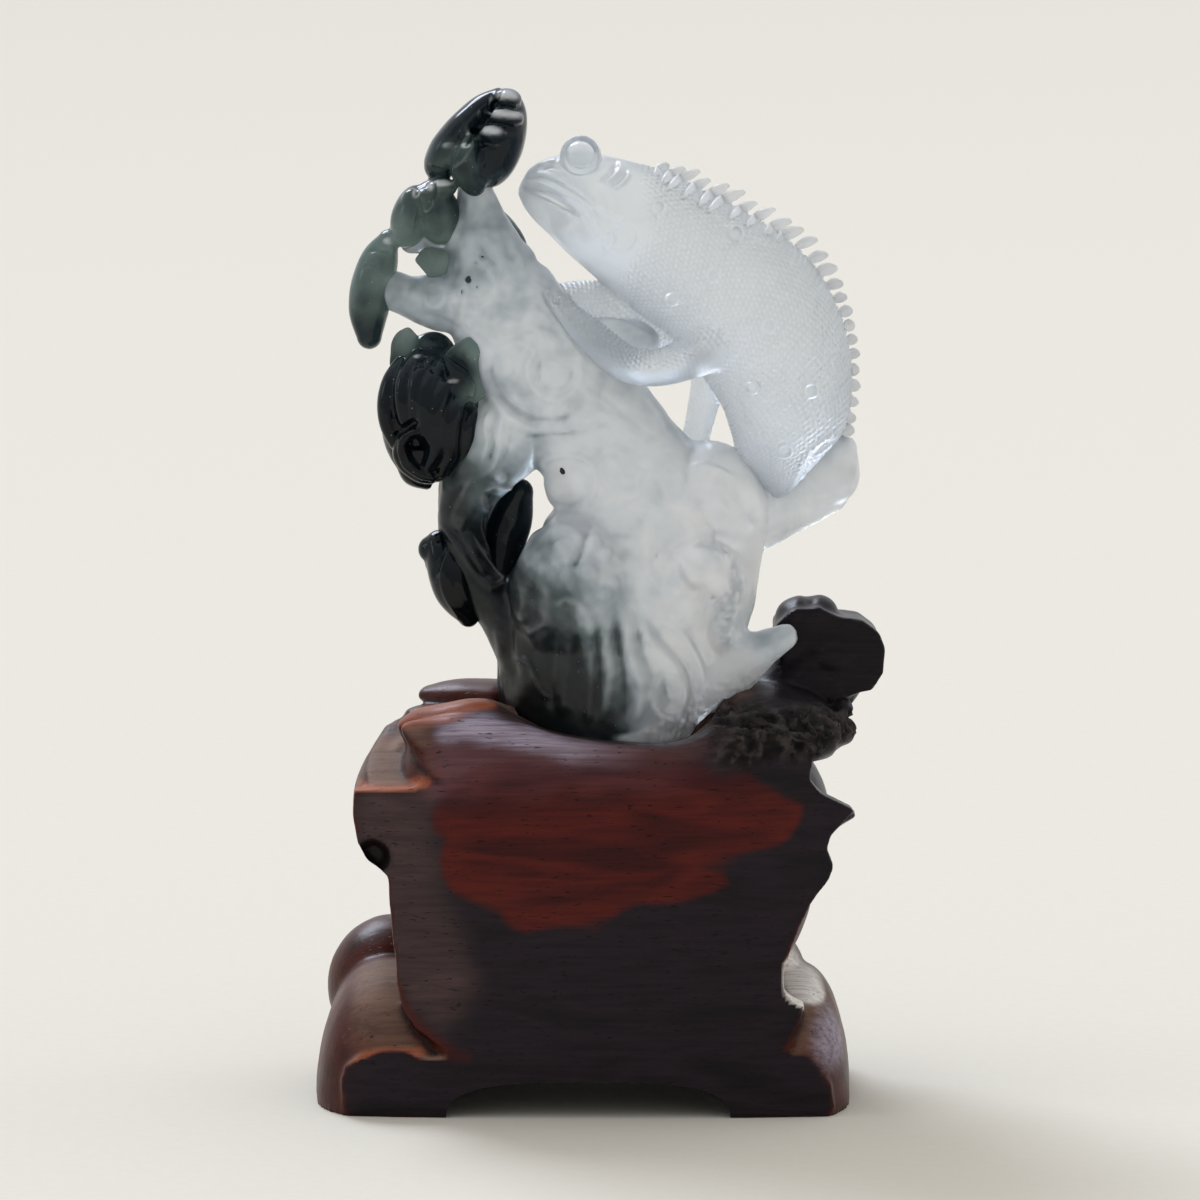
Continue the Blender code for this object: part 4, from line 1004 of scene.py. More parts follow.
LEFT_LOBE = [
    (-25.6, -2, 251, 1.6, 4), (-29.4, -3, 248.3, 2.8, 6), (-32.6, -3, 245.1, 3.3, 7),
    (-36, -3, 241.4, 3.6, 7.5), (-38.6, -3, 237.4, 4, 7.5), (-39.9, -2, 234, 4.1, 7),
    (-40, -2, 233.2, 4, 6),
]
INNER_LOBE = [
    (-32.2, -9.5, 239.2, 2.2, 2.6), (-33.6, -10, 236.2, 3.3, 3.6), (-33.6, -9, 232.4, 3.7, 4),
    (-31.6, -6, 229, 3.2, 4),
]
DROP = [
    (-53, 0, 215, 2.6, 4), (-55, 0, 210.3, 4.7, 5.5), (-57, 0, 203.6, 5.5, 6.5), (-58, 0, 196.5, 5, 6),
    (-57.9, 0, 190.6, 3.2, 4.5),
]
RIBS = [  # centre lines of the shell cap's ribs, from its scalloped edge round to its curl
    (2.6, -49.6, 184.4, -51.8, 180.3, -53, 175.2, -52.8, 169.5, -51, 164.4),
    (2.3, -45.9, 186.4, -47.5, 183.2, -48.9, 179.2, -49.2, 174.6, -48.6, 170.2),
    (2.1, -42.6, 184.6, -44.7, 182, -45.8, 179.2, -46, 175.2, -46.4, 171.5),
    (2.3, -39.4, 183.4, -41.9, 180.9, -43.4, 177.5, -43.8, 173.5, -43.4, 169.5, -42.6, 165.5),
    (2.6, -36.1, 181.4, -38.4, 178.9, -39.8, 175.8, -40.8, 171.8, -40.9, 167, -41, 162.5, -43, 158.4),
    (2.6, -33.4, 177.2, -35.4, 174.3, -36.9, 170.3, -37.4, 166.1, -37.4, 161.8, -39.4, 157.2),
    (2.3, -31.9, 171.9, -32.9, 168.5, -33.5, 164.4, -34.3, 160.4, -36.3, 156.6),
]
CURL = [(-46, 167.2), (-48.6, 165.3), (-49.4, 162.1), (-48.2, 159.2), (-45.2, 156.6), (-42.5, 155.6)]
SEGMENTS = [(-22.9, 249.8, 3.5, 2.6), (-23.7, 245.3, 4.9, 2.6), (-26.4, 241, 4.4, 2.7)]
CAP_TEAL_BACK = [
    (-38.9, 186.4), (-36, 189.2), (-32.6, 191.1), (-29.1, 188.4), (-30.3, 184.9), (-30, 182),
    (-29.4, 179.1), (-28.3, 176.2), (-31.4, 173.9), (-34.3, 176.4), (-37.6, 181.7),
]
CAP_DARK_BACK = [
    (-39.2, 186.4), (-37.1, 185.5), (-33.1, 182.6), (-30.8, 179), (-31.3, 175.8), (-36.1, 176.7),
]
DROP_LEAF = [
    (-46.5, 209.8), (-44.7, 212.1), (-42.6, 214.4), (-37.5, 214.4), (-35.5, 210.6), (-36.8, 206.6),
    (-42.1, 204.7), (-43.4, 206.2),
]
PALE_LEAF = [
    (-48, 193.2), (-50.7, 191.9), (-52.3, 189.3), (-52.6, 186.1), (-52.8, 183.5), (-51.9, 180.5),
    (-47.6, 181.8), (-44.5, 187.7), (-46, 191),
]
BUD = [
    (-40.2, -2, 138.3, 4, 5), (-38.2, -3, 132.1, 5.3, 6.5), (-35.7, -3, 125.8, 5.3, 6.5),
    (-33.2, -2, 120.4, 2.8, 4),
]
DARK_LEAF = [
    (-20.3, 8, 151, 3.6, 3), (-22.4, 9, 145, 5.6, 3.5), (-24.8, 9, 138, 6, 4), (-25.6, 8, 130, 5.6, 4),
]
NECK_LEAF = [
    (-28.2, 7, 223.5, 1.5, 3), (-24.7, 8, 218.5, 3, 3.5), (-21.7, 8, 213.5, 3.3, 3.5),
    (-19.7, 7, 209.2, 1.8, 2.5),
]
cap_forms = [
    egg(*TOP_CAP, lean=14),
    tube(LEFT_LOBE, sides=32),
    tube(INNER_LOBE),
    *[egg((x, -7.0, z), (wide, 5.4, tall), lean=8) for x, z, wide, tall in SEGMENTS],
    egg((-30.6, -2, 234.0), (5.4, 8.5, 6.8), lean=-10),
    egg((-40.9, -2, 221.6), (6.0, 8, 8.4), lean=-16),
    egg((-47.0, -2, 220.6), (5.2, 7.5, 8.2), lean=16),
    egg((-39.6, -5.5, 227.6), (4.2, 4.6, 2.6), lean=-8),
    egg((-43.8, -7.4, 225.4), (2.3, 2.6, 2.4)),
    egg((-47.0, -6, 225.0), (2.4, 3.2, 2.8), lean=25),
    tube(DROP, sides=32),
    dressed(smooth_rows([*DROP_LEAF, DROP_LEAF[0]], 40)[:-1], -2.5, 1.5),
    tube(NECK_LEAF),
    dressed(smooth_rows([*PALE_LEAF, PALE_LEAF[0]], 40)[:-1], -1.5, 2.0),
    dressed(CAP_TEAL_BACK, -11.5, -7.0),
    dressed(CAP_DARK_BACK, -13.5, -9.0),
    egg(*SHELL, lean=4),
    tube([(-42.0, 0, 186.0, 6, 6), (-42.6, -1, 176.0, 6, 7)]),
    *[laid(np.reshape(line, (-1, 2)), SHELL, width, 3.2, 0.5) for width, *line in RIBS],
    laid(CURL, SHELL, 2.4, 3.8, -0.8),
    tube([(-50.0, -3, 160.2, 1.6, 3), (-47.6, -2, 155.8, 2.2, 4), (-43.6, -1, 153.6, 1.4, 3)]),
    egg((-42.3, -2, 137.3), (3.5, 3.5, 3.5)),
    egg((-41.9, -2, 133.6), (2.2, 3.0, 2.2)),
    tube(BUD, sides=32),
    tube(DARK_LEAF, sides=28),
]
caps = one_skin(joined("fungus_caps", cap_forms), CAP_VOXEL, 9)

CAP_LINES = [
    (-1.7, 0.5, -24.6, 251.9, -26.3, 248.6, -28.2, 245.2, -30, 242.6, -31.6, 240.4, -33, 238.4),
    (-0.8, 0.5, -34.2, 240.6, -36, 237.2, -37.3, 233.6, -37.4, 230),
    (-0.6, 0.3, -26.6, 247.3, -23.4, 247.7, -19.8, 246.8),
    (-0.6, 0.3, -29.4, 243.4, -26, 243.6, -21.4, 242.4),
    (-0.7, 0.45, -31, 240, -29.2, 238.2, -25.6, 237.8),
    (0.5, 0.5, -31.2, 238.8, -32.6, 236.4, -34.1, 234.2, -36.2, 232.6),
    (-0.4, 1.2, -26.4, 236.4, -28.2, 232.6, -31.2, 229.8),
    (-0.5, 0.6, -45.4, 227.5, -45.3, 224.8, -44.9, 222.4, -45.4, 219.1, -45.8, 216),
    (-0.7, 0.4, -41, 229.4, -40.9, 227, -41.2, 225),
    (0.35, 0.35, -46, 224.6, -45, 226.2, -43.4, 226.6, -41.8, 225.6, -41.4, 223.8, -42.4, 222.2,
     -44.4, 221.9),
    (-0.5, 0.4, -41.2, 222.8, -43, 220.9, -44.8, 221),
    (-0.5, 0.45, -57.7, 211.8, -55.9, 212.4, -53.9, 211.8, -52.1, 212.4),
    (-0.4, 0.45, -59.1, 208.2, -57.3, 208.7, -55.7, 208),
    (-2.4, 1.6, -46.2, 165.2, -45.6, 163.8, -45.4, 162.6),
    (-1, 0.6, -47.2, 168.9, -50.2, 166.8, -51.2, 162.6, -50, 158.8),
    (-0.9, 0.5, -51.4, 160.2, -48.8, 157.2, -45.2, 154.8, -41.6, 154.2),
    (-0.9, 0.6, -39.2, 141.8, -38.7, 138.5, -40, 134.9, -41.5, 130.8),
    (-0.6, 0.6, -41, 139.5, -40, 140.5, -38.5, 139.8),
    (0.5, 0.7, -38.5, 137.5, -39.5, 131.8, -38.5, 126.2, -35.4, 121.1),
    (-0.4, 1, -36.4, 134.9, -36.4, 129.8, -34.4, 124.7, -32.4, 121.1),
]
SCALLOPS = [
    (-44, 184.4, 1.1), (-41.1, 182.7, 1), (-37.9, 180.9, 1.2), (-34.6, 178.4, 1.5), (-32.6, 173.4, 1.1),
]
CAP_STAINS = [  # x, y, z and how smoky: the caps are darkest, and paler where they thin out
    (-27, -1, 240, 1), (-36, -3, 240, 0.97), (-39.5, -5, 231.5, 0.8), (-35.2, -8, 234.2, 0.71),
    (-31, -6, 234, 0.92), (-36, 0, 228, 0.86), (-26, 0, 230, 0.9), (-47, -2, 221, 0.74),
    (-41, -4, 224, 0.76), (-49, -2, 214, 0.52), (-42, -2, 216, 0.6), (-54, 0, 212, 0.66),
    (-57, 0, 201, 0.78), (-58, 0, 191, 0.84), (-52, 0, 203, 0.42), (-40, 4, 211, 0.5), (-25, 8, 219, 0.6),
    (-21, 8, 212, 0.75), (-48, 2, 190, 0.5), (-31, -9, 187, 0.56), (-29, -9, 179, 0.58),
    (-35, -12, 183, 0.92), (-40, -2, 190, 0.86), (-43, -8, 175, 1), (-48, -10, 165, 1), (-36, -8, 168, 1),
    (-42, -6, 182, 0.95), (-43, 6, 172, 0.95), (-47, -2, 156, 0.97), (-42, -2, 137, 0.95),
    (-37, -3, 127, 1), (-23, 9, 143, 0.93), (-25, 8, 132, 0.97),
]
# Painted reflections of the light, as paler blue bands across the crowns of the caps.
PAINTED_REFLECTIONS = [  # x, z and half sizes of the paler blue bands that cross the crowns of the caps
    (-22.9, 250, 2.5, 1.9), (-23.4, 245.7, 3.6, 1.7), (-26.9, 241.9, 2.4, 1.4), (-27.6, 238.3, 2.2, 0.4),
    (-27, 248, 0.5, 2), (-29.9, 245.5, 0.5, 1.2), (-32.8, 241.9, 0.6, 1), (-37.3, 238.2, 1.5, 0.7),
    (-33.2, 238.2, 1, 0.6), (-39.4, 229, 2.6, 0.8), (-42.3, 227.8, 0.9, 0.9), (-45.7, 226.4, 0.8, 1.1),
    (-52.4, 214.6, 1.5, 0.8), (-45.2, 186, 1, 0.4), (-36.4, 180, 1.2, 0.5),
]
points, facing = points_of(caps)
raised = relief(points, facing, CAP_LINES, 0.75)
for *notch, radius in SCALLOPS:
    raised -= 0.5 * np.exp(-((off_spot(points, *notch) / radius) ** 2)) * (facing[:, 1] < 0)
raised += 0.1 * swell(points, 5.0)
points = points + facing * raised[:, None]
move_points(caps, points)
dark = smoke(points, CAP_STAINS, 2.0)
paint(caps, "smoke", dark + 0.1 * swell(points, 5.0, 4.0) * np.clip(5 * dark * (1 - dark), 0, 1))
stands_proud = proud(caps, 6)
reflection_paint = np.zeros(len(points))
for band_x, band_z, wide, tall in PAINTED_REFLECTIONS:
    off = np.hypot((points[:, 0] - band_x) / wide, (points[:, 2] - band_z) / tall)
    band = ease(1.5, 0.6, off) * ease(0.0, 0.3, -facing[:, 1]) * ease(-0.6, 0.5, facing[:, 2])
    reflection_paint = np.maximum(reflection_paint, band)
reflection_paint *= ease(-0.2, 0.15, stands_proud)
# Painted highlights on edges that stand proud, with the painted reflections; painted shade in hollows.
paint(caps, "rim", np.maximum(0.4 * ease(0.1, 0.6, stands_proud) * (1 - ease(0.7, 0.9, dark)), reflection_paint))
paint(caps, "hollow", ease(0.05, 0.5, -stands_proud))
CAP_COLOURS = [
    (0.0, "#dfe8ea"), (0.35, "#a8b7b5"), (0.55, "#70837f"), (0.75, "#42514e"), (0.88, "#15222a"),
    (1.0, "#080c0f"),
]
polished = crystal_finish("polished_smoky_crystal", 0.1, 0.2, CAP_COLOURS, 0.03, 0.68, 0.25, 0.11)
wear(caps, polished)
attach(caps, "root")
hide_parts("quartz_carving")

# ------------------------------------------------------------------ the lizard
# Head, body, limbs and tail in the clearest of the crystal, cut in one with the trunk. Rows of beads
# 1.5 mm apart stand for scales on the back, sides and arms; face, throat and feet are smooth, and
# all of it was left frosted.

LIZARD_VOXEL = 0.58
BACK = [
    (-20.4, 228.5), (-17.5, 232.7), (-12.5, 235.4), (-5, 236.4), (4.5, 235.2), (15, 232.2), (25.5, 227.3),
    (36.3, 221.8), (46.3, 215.3), (54.4, 207.3), (59.7, 197.3), (62.7, 186.8), (63.2, 176), (60.8, 166.8),
    (55, 160), (49.8, 153.8), (46.4, 150.2),
]
BELLY = [
    (-20.6, 225.5), (-17.5, 220.8), (-12.5, 215.8), (-6, 209.6), (1.8, 203.1), (10, 197), (17.5, 190.8),
    (24.3, 183.8), (28.1, 177.7), (31.2, 172.2), (33.2, 166.2), (35, 160.1), (38.6, 156.6), (40.9, 152.9),
    (42.2, 150.8), (43.1, 149.6), (44.4, 148.8),
]
BODY_HALF_DEPTH = [2, 6, 9.5, 11.5, 12.5, 14, 15.5, 16.5, 17, 17, 16.5, 15, 13, 10, 7, 4.5, 2]
BODY_ROUNDNESS = 2.3
NEAR_ARM = [
    (31, -8, 193, 6.5, 8), (26.5, -11, 188.2, 6.2, 7), (20, -13, 184.8, 5, 6),
    (13.2, -14.5, 183.2, 4.6, 5.2), (6.2, -15, 184.4, 4.5, 5), (0.8, -15, 188.6, 4.3, 4.6),
    (-4.6, -14, 193.4, 3.7, 4.2), (-8.8, -12.5, 197.4, 2.7, 3.4), (-12.8, -10.5, 201.2, 1.6, 2.6),
]
FAR_ARM = [
    (20, 6, 192, 5, 7), (11, 6, 193.4, 6.2, 8), (2, 5, 196.4, 7.6, 9), (-6, 4, 198.6, 6, 8),
    (-13, 2, 200.2, 3.2, 5),
]
FAR_LEG = [
    (27.6, 6, 181, 4.4, 5), (26.4, 7, 174.2, 4, 4.5), (24.8, 7, 167.8, 3.6, 4), (23.6, 6, 161.3, 3.6, 4),
]


def oval(points_round, roundness, steps=1441):
    """A squarish circle's two coordinates at even distances round it."""
    turn = np.linspace(0, math.tau, steps)
    u, v = squarer(np.cos(turn), 2 / roundness), squarer(np.sin(turn), 2 / roundness)
    run = np.concatenate([[0], np.cumsum(np.hypot(np.diff(u), np.diff(v)))])
    even = np.linspace(0, run[-1], points_round, endpoint=False)
    return np.interp(even, run, u), np.interp(even, run, v)


def body_rings(count=150, sides=96):
    """Squarish ovals from the snout to the foot, starting at the back and closing blunt."""
    rows = [
        ((b[0] + f[0]) / 2, -1, (b[1] + f[1]) / 2, (b[0] - f[0]) / 2, (b[1] - f[1]) / 2, d)
        for b, f, d in zip(BACK, BELLY, BODY_HALF_DEPTH, strict=True)
    ]
    u, v = oval(sides, BODY_ROUNDNESS)
    rings = []
    for n, (mx, my, mz, hx, hz, deep) in enumerate(smooth_rows(rows, count)):
        close = math.sqrt(1 - max(0.0, 0.82 - 0.3 * min(n, count - 1 - n)) ** 2)
        rings.append(np.stack([mx + u * hx * close, my + v * deep * close, mz + u * hz * close], 1))
    return np.array(rings)


def measured(rings):
    """Distances over a form in mm: along it, and round it from its first line of points."""
    along = np.linalg.norm(np.diff(rings.mean(1), axis=0), axis=1)
    along = np.concatenate([[0], np.cumsum(along)])[:, None].repeat(rings.shape[1], 1)
    steps = np.linalg.norm(np.roll(rings, -1, 1) - rings, axis=2)
    round_it = np.cumsum(steps, axis=1) - steps
    round_it = np.minimum(round_it, steps.sum(1, keepdims=True) - round_it)
    return along, round_it


def skin_tree(piece):
    """The piece's skin, in a form that answers quickly which part of it is nearest."""
    points, faces = piece.data.vertices, piece.data.polygons
    return BVHTree.FromPolygons([v.co for v in points], [p.vertices for p in faces])


def nearest_place(piece, forms):
    """For each point: the nearest form, and distances along and round it."""
    guide = joined("guide", forms)
    tree = skin_tree(guide)
    found = [tree.find_nearest(vertex.co) for vertex in piece.data.vertices]
    bpy.data.objects.remove(guide)
    face = np.array([hit[2] for hit in found])
    spot = np.array([hit[0] for hit in found]) / MM - SHIFT
    owner = np.zeros(len(face), int)
    along, round_it = np.zeros(len(face)), np.zeros(len(face))
    first = 0
    for number, rings in enumerate(forms):
        count, sides = rings.shape[:2]
        total = (count + 1) * sides
        mine = np.where((face >= first) & (face < first + total))[0]
        cell = np.minimum(face[mine] - first, (count - 1) * sides - 1)
        i, j = cell // sides, cell % sides
        after = (j + 1) % sides
        corner, ahead, beside = rings[i, j], rings[i + 1, j], rings[i, after]
        from_corner, side, front = spot[mine] - corner, beside - corner, ahead - corner
        s = np.clip((from_corner * side).sum(1) / (side**2).sum(1).clip(1e-9), 0, 1)
        t = np.clip((from_corner * front).sum(1) / (front**2).sum(1).clip(1e-9), 0, 1)
        lengths, rounds = measured(rings)
        owner[mine] = number
        along[mine] = lengths[i, j] * (1 - t) + lengths[i + 1, j] * t
        level = rounds[i, j] * (1 - s) + rounds[i, after] * s
        further = rounds[i + 1, j] * (1 - s) + rounds[i + 1, after] * s
        round_it[mine] = level * (1 - t) + further * t
        first += total
    return owner, along, round_it


def beads(along, round_it, pitch):
    """Round beads in staggered rows, 1 at their tops and 0 between them."""
    across = math.tau * round_it / pitch
    ahead = math.tau * along / (pitch * math.sqrt(3))
    waves = np.cos(across - ahead) + np.cos(2 * ahead) + np.cos(across + ahead)
    return np.clip((waves + 1.2) / 4.2, 0, 1)


EYE_X, EYE_Z, EYE_Y = -4.9, 235.8, 8.6
EYE_SIDES = ((-EYE_Y - 1, -1), (EYE_Y - 1, 1))  # the head's middle lies at y -1
lizard_forms = [body_rings()]
lizard_forms += [tube(rows, sides=40, count=90) for rows in (NEAR_ARM, FAR_ARM, FAR_LEG)]
for eye_y, _ in EYE_SIDES:
    lizard_forms.append(egg((EYE_X + 0.2, eye_y * 0.86, EYE_Z - 0.4), (5.3, 4.6, 5.4)))
lizard = one_skin(joined("lizard", lizard_forms), LIZARD_VOXEL, 9)
finer = lizard.modifiers.new("finer", "SUBSURF")
finer.levels = finer.render_levels = 1
applied(lizard)

# Lines of the face and folds of the skin: height or depth, half width, then x and z of each point
FACE_LINES = [
    (-0.9, 0.45, -18.9, 228.1, -14.4, 227.2, -9.6, 224.8, -4.6, 220.8),
    (0.8, 0.4, -18.5, 226.9, -14.6, 225.2, -11.5, 223.7, -8.2, 221.9, -4.9, 219.9),
    (0.65, 0.6, -20.1, 229.6, -14.4, 229, -9.6, 226.8, -5.8, 224.8, -2.7, 222.6, -0.6, 219),
    (-0.3, 0.35, -17.8, 230.3, -13.8, 230.2, -9.4, 228.3, -5.4, 226, -2.2, 223.8),
    (0.3, 0.5, -16.9, 231.2, -12.8, 231, -8.6, 229.1, -4.6, 226.6, -1.6, 224.2),
    (0.35, 0.5, -15.8, 233.4, -13.4, 234.4, -10.6, 234.6),
    (-0.3, 0.4, -14.6, 232.2, -12.2, 233, -10, 232.4),
    (0.5, 0.55, 1, 228.7, 3.4, 230.4, 5, 232.4, 4.6, 234.6),
    (-0.4, 0.5, 0.2, 229.4, 2.4, 231.2, 3.4, 233.4),
    (0.4, 0.7, 3.4, 227.4, 6, 229.4, 7.6, 231.6),
    (-0.35, 0.5, 2.4, 227.9, 5, 230, 6.2, 232),
    (0.25, 0.5, -1.7, 222.5, 0.8, 222.2, 2.9, 220.6, 5.2, 219.8, 7.3, 220.4),
    (-0.25, 0.5, 2.5, 217.6, 3.4, 215.2, 2.6, 212.5),
    (0.25, 0.5, -0.6, 216.2, 1, 213.9, 1.7, 212.3),
    (-0.3, 0.6, -3.2, 220.4, -1.6, 217.6, 0.6, 214.6),
]
FOLD_LINES = [
    (-0.6, 0.9, 31.6, 194.6, 28, 191.9, 23, 189.4, 18.4, 188.4, 12.6, 187.6),
    (0.5, 1.2, 27.8, 182.6, 31.6, 184.8, 34.6, 188.6),
    (-0.5, 1.1, 33.8, 176.8, 36.4, 172.6, 38.6, 168.6, 42, 166.4),
    (0.5, 1, 38.2, 166.4, 41.6, 164.6, 43.6, 161.6, 43.4, 158),
    (0.5, 0.7, 60.6, 166.9, 55.2, 165.3, 51.4, 161.4, 48.9, 156.4, 47, 151.4),
    (-0.9, 0.8, 62, 165.4, 56.2, 163.6, 52.9, 160, 50.3, 155.2, 48.4, 150.6, 45, 147.6, 41.8, 149.6),
    (0.4, 0.5, -13.6, 202.8, -9.8, 198.6, -6.8, 194.6, -4, 190.6),
]
MUSCLES = [  # x, z, radius and height
    (-2.6, 216, 6, 0.6), (30, 192, 11, 0.9), (47.5, 171, 12, 0.9), (36, 161, 6, 0.5), (6, 196.5, 7, 0.5),
]
BOSSES = [  # x and z of the round warts among the beads
    (27.9, 206.5), (17.8, 200.6), (41.5, 193.7), (37.6, 178.6), (52, 177.9), (45.9, 162.8), (14.3, 222.8),
    (51.9, 154), (33.6, 216.4),
]
TYMPANUM = (5.9, 215.6, 3.4)  # x, z and radius of the ear drum


def warts(points, facing, places, radius=1.6):
    """Round bosses, each a low dome inside a ring, and how far they clear the beads away."""
    raised, cleared = np.zeros(len(points)), np.ones(len(points))
    for x, z in places:
        apart = off_spot(points, x, z)
        raised += 0.75 * np.exp(-(((apart - radius) / 0.34) ** 2)) - 0.15 * ease(radius, 0.6 * radius, apart)
        cleared *= ease(radius, radius + 0.7, apart)
    sides = np.clip(np.abs(facing[:, 1]) * 2, 0, 1)
    return raised * sides, np.where(sides > 0.3, cleared, 1)


points, facing = points_of(lizard)
x, y, z = points.T
owner, along, round_it = nearest_place(lizard, lizard_forms)
sides = np.clip(np.abs(facing[:, 1]) * 1.6, 0, 1)
shape = 1.9 * relief(points, facing, FACE_LINES, 1.0) * np.clip(np.abs(facing[:, 1]) * 2.2, 0, 1)
shape += relief(points, facing, FOLD_LINES, 0.8)
shape += domes(points, facing, MUSCLES) + domes(points, -facing, MUSCLES)
drum = off_spot(points, *TYMPANUM[:2]) - TYMPANUM[2]
shape += (0.28 * np.exp(-((drum / 0.5) ** 2)) - 0.12 * ease(0.2, -0.6, drum)) * sides
for eye_y, way in EYE_SIDES:
    rim = off_spot(points, EYE_X, EYE_Z)
    near_eye = ease(0.0, 0.5, facing[:, 1] * way) * ease(14, 9, np.abs(y - eye_y) + rim)
    shape += near_eye * (0.5 * np.exp(-(((rim - 4.5) / 0.42) ** 2)) - 0.5 * ease(4.1, 3.4, rim))
warty, cleared = warts(points, facing, BOSSES)
face_edge = np.interp(z, [180, 195, 205.6, 215.7, 232, 245], [-20, -4, 2.6, 10.2, 8.6, 6.5])
on_body = ease(-1, 7, x - face_edge) * (1 - 0.85 * ease(161, 156, z) * ease(43, 40, x))
on_body *= 1 - 0.9 * ease(152, 149.5, z)
arm_top = 0.1 + 0.9 * ease(-0.3, 0.3, facing[:, 2])
strength = np.array([1.0, 1.25, 1.3, 0.35, 0.0, 0.0])[owner]
strength = strength * np.where(owner == 0, on_body, 1) * np.where(owner == 1, arm_top * ease(-14, -10, x), 1)
spacing = np.where(owner == 0, 1.5, 1.35)
bead = beads(along, round_it, spacing)
grown = np.clip(strength, 0, 1.3) * cleared
shape += warty * ease(0.3, 0.8, on_body) + 0.48 * grown * (bead - 0.35)
shape += 0.1 * swell(points, 5.0, 11.0)
points = points + facing * shape[:, None]
move_points(lizard, points)
greyer = 0.16 * ease(22, 8, x) * ease(206, 198, z) * (owner != 1)
paint(lizard, "smoke", 0.03 + 0.05 * swell(points, 14.0) + greyer)
# Painted highlights on bead tops, on edges that stand proud and along the lips; painted shade between the
# beads, in hollows and in the face's creases.
lip_highlights = relief(points, facing, [(1.0, 0.35, *FACE_LINES[1][2:]), (0.6, 0.4, *FACE_LINES[4][2:])])
shown = np.clip(grown, 0, 1) * np.where(owner == 1, 0.35, 1)
paint(lizard, "rim", bead**1.6 * shown + ease(0.1, 0.45, proud(lizard, 6)) * 0.8 + lip_highlights)
crease_shade = [(1, 0.45, 0), (0.8, 0.3, 3), (0.6, 0.35, 6)]
crease_shade = [(height, width, *FACE_LINES[n][2:]) for height, width, n in crease_shade]
crease_shade = relief(points, facing, crease_shade)
paint(lizard, "hollow", (1 - bead) ** 1.5 * shown * 0.6 + ease(0.06, 0.4, -proud(lizard, 8)) * 0.7 + crease_shade)
CLEAR_COLOURS = [(0.0, "#f3f9fe"), (0.25, "#e4ecf4"), (1.0, "#98a8ad")]
clear = crystal_finish("frosted_clear_crystal", 0.28, 0.8, CLEAR_COLOURS, 0.3, 0.8, 0.12)
wear(lizard, clear)

# ------------------------------------------------------------------ the crest
# Overlapping blades down the back, long over the shoulders and mere nubs on the rump. Each rises
# out of the sides like a leaf with a groove down it and ends in a free tip. They were left clearer.

CREST = [  # x and z of a blade's root inside the back's line, then of its tip beyond it
    (13.7, 230.7, 17.2, 233.9), (15.2, 228.7, 21.7, 233), (16.5, 227.3, 24.7, 231.9),
    (20, 225, 28.2, 230.3), (24, 223, 32.4, 228.7), (26.5, 221.8, 36.2, 226.9),
    (31.7, 219.8, 39.9, 224.6), (36, 218, 43.6, 222.5), (40.7, 216.1, 48.2, 219.9),
    (44, 214.6, 51.3, 217.7), (49, 213.1, 54.3, 214.9), (52, 209.6, 57.5, 211.4),
    (54, 206.4, 59.4, 207.9), (56.5, 203.2, 61, 204), (58.5, 199.9, 62.2, 200.8),
    (60, 196.5, 63.2, 197.3), (61.2, 193.1, 64, 193.8), (61.9, 189.6, 64.6, 190.2),
    (62.3, 186, 65.1, 186.6), (62.4, 182.1, 65.3, 182.6), (62.4, 178.1, 65.3, 178.5),
    (62.1, 174.1, 65, 174.4), (61.5, 170.1, 64.5, 170.3), (60.8, 167.1, 63.8, 167.1),
]
BLADE_HALF_WIDTH = 1.5
back_line = smooth_rows(
    [
        (b[0], -1, b[1], (f[0] - b[0]) / 2, (f[1] - b[1]) / 2, d)
        for b, f, d in zip(BACK, BELLY, BODY_HALF_DEPTH, strict=True)
    ],
    500,
)


def blade(root, tip, width, count=30, sides=32):
    """A leaf across the body, lifted along its lower edge, from its root to a free tip."""
    t = np.linspace(0, 1, count)
    middle = root + (tip - root) * t[:, None]
    middle[:, 1] += 0.5 * np.sin(math.pi * t) * np.linalg.norm(tip - root) / 9
    nearest = np.argmin(np.linalg.norm(back_line[None, :, [0, 2]] - middle[:, None], axis=2), axis=1)
    station = back_line[nearest]
    half_height = np.linalg.norm(station[:, 3:5], axis=1)
    inward = station[:, 3:5] / half_height[:, None]
    within = ((middle - station[:, [0, 2]]) * inward).sum(1) / half_height
    share = np.clip(1 - within, 0, 1)
    deep = station[:, 5] * (1 - share**BODY_ROUNDNESS) ** (1 / BODY_ROUNDNESS)
    proud_by = 0.9 * np.sin(math.pi * np.clip(0.06 + t, 0, 1)) ** 0.6
    deep = np.maximum(deep + proud_by, 0.6 + 2.6 * (1 - t))
    half = width * np.clip(np.sin(math.pi * (0.12 + 0.84 * t)), 0.05, 1) ** 0.6
    across = np.array([-(tip - root)[1], (tip - root)[0]]) / np.linalg.norm(tip - root)
    angle = np.linspace(0, math.tau, sides, endpoint=False)
    u, v = squarer(np.cos(angle), 0.9), squarer(np.sin(angle), 0.3)
    lifted = np.minimum(1, deep / 4)[:, None] * (0.55 * -u - 0.35 * np.exp(-(((u - 0.2) / 0.3) ** 2)))
    rings = np.zeros((count, sides, 3))
    rings[..., 0] = middle[:, :1] + u * half[:, None] * across[0]
    rings[..., 1] = -1 + v * deep[:, None] + np.sign(v) * lifted
    rings[..., 2] = middle[:, 1:] + u * half[:, None] * across[1]
    return rings


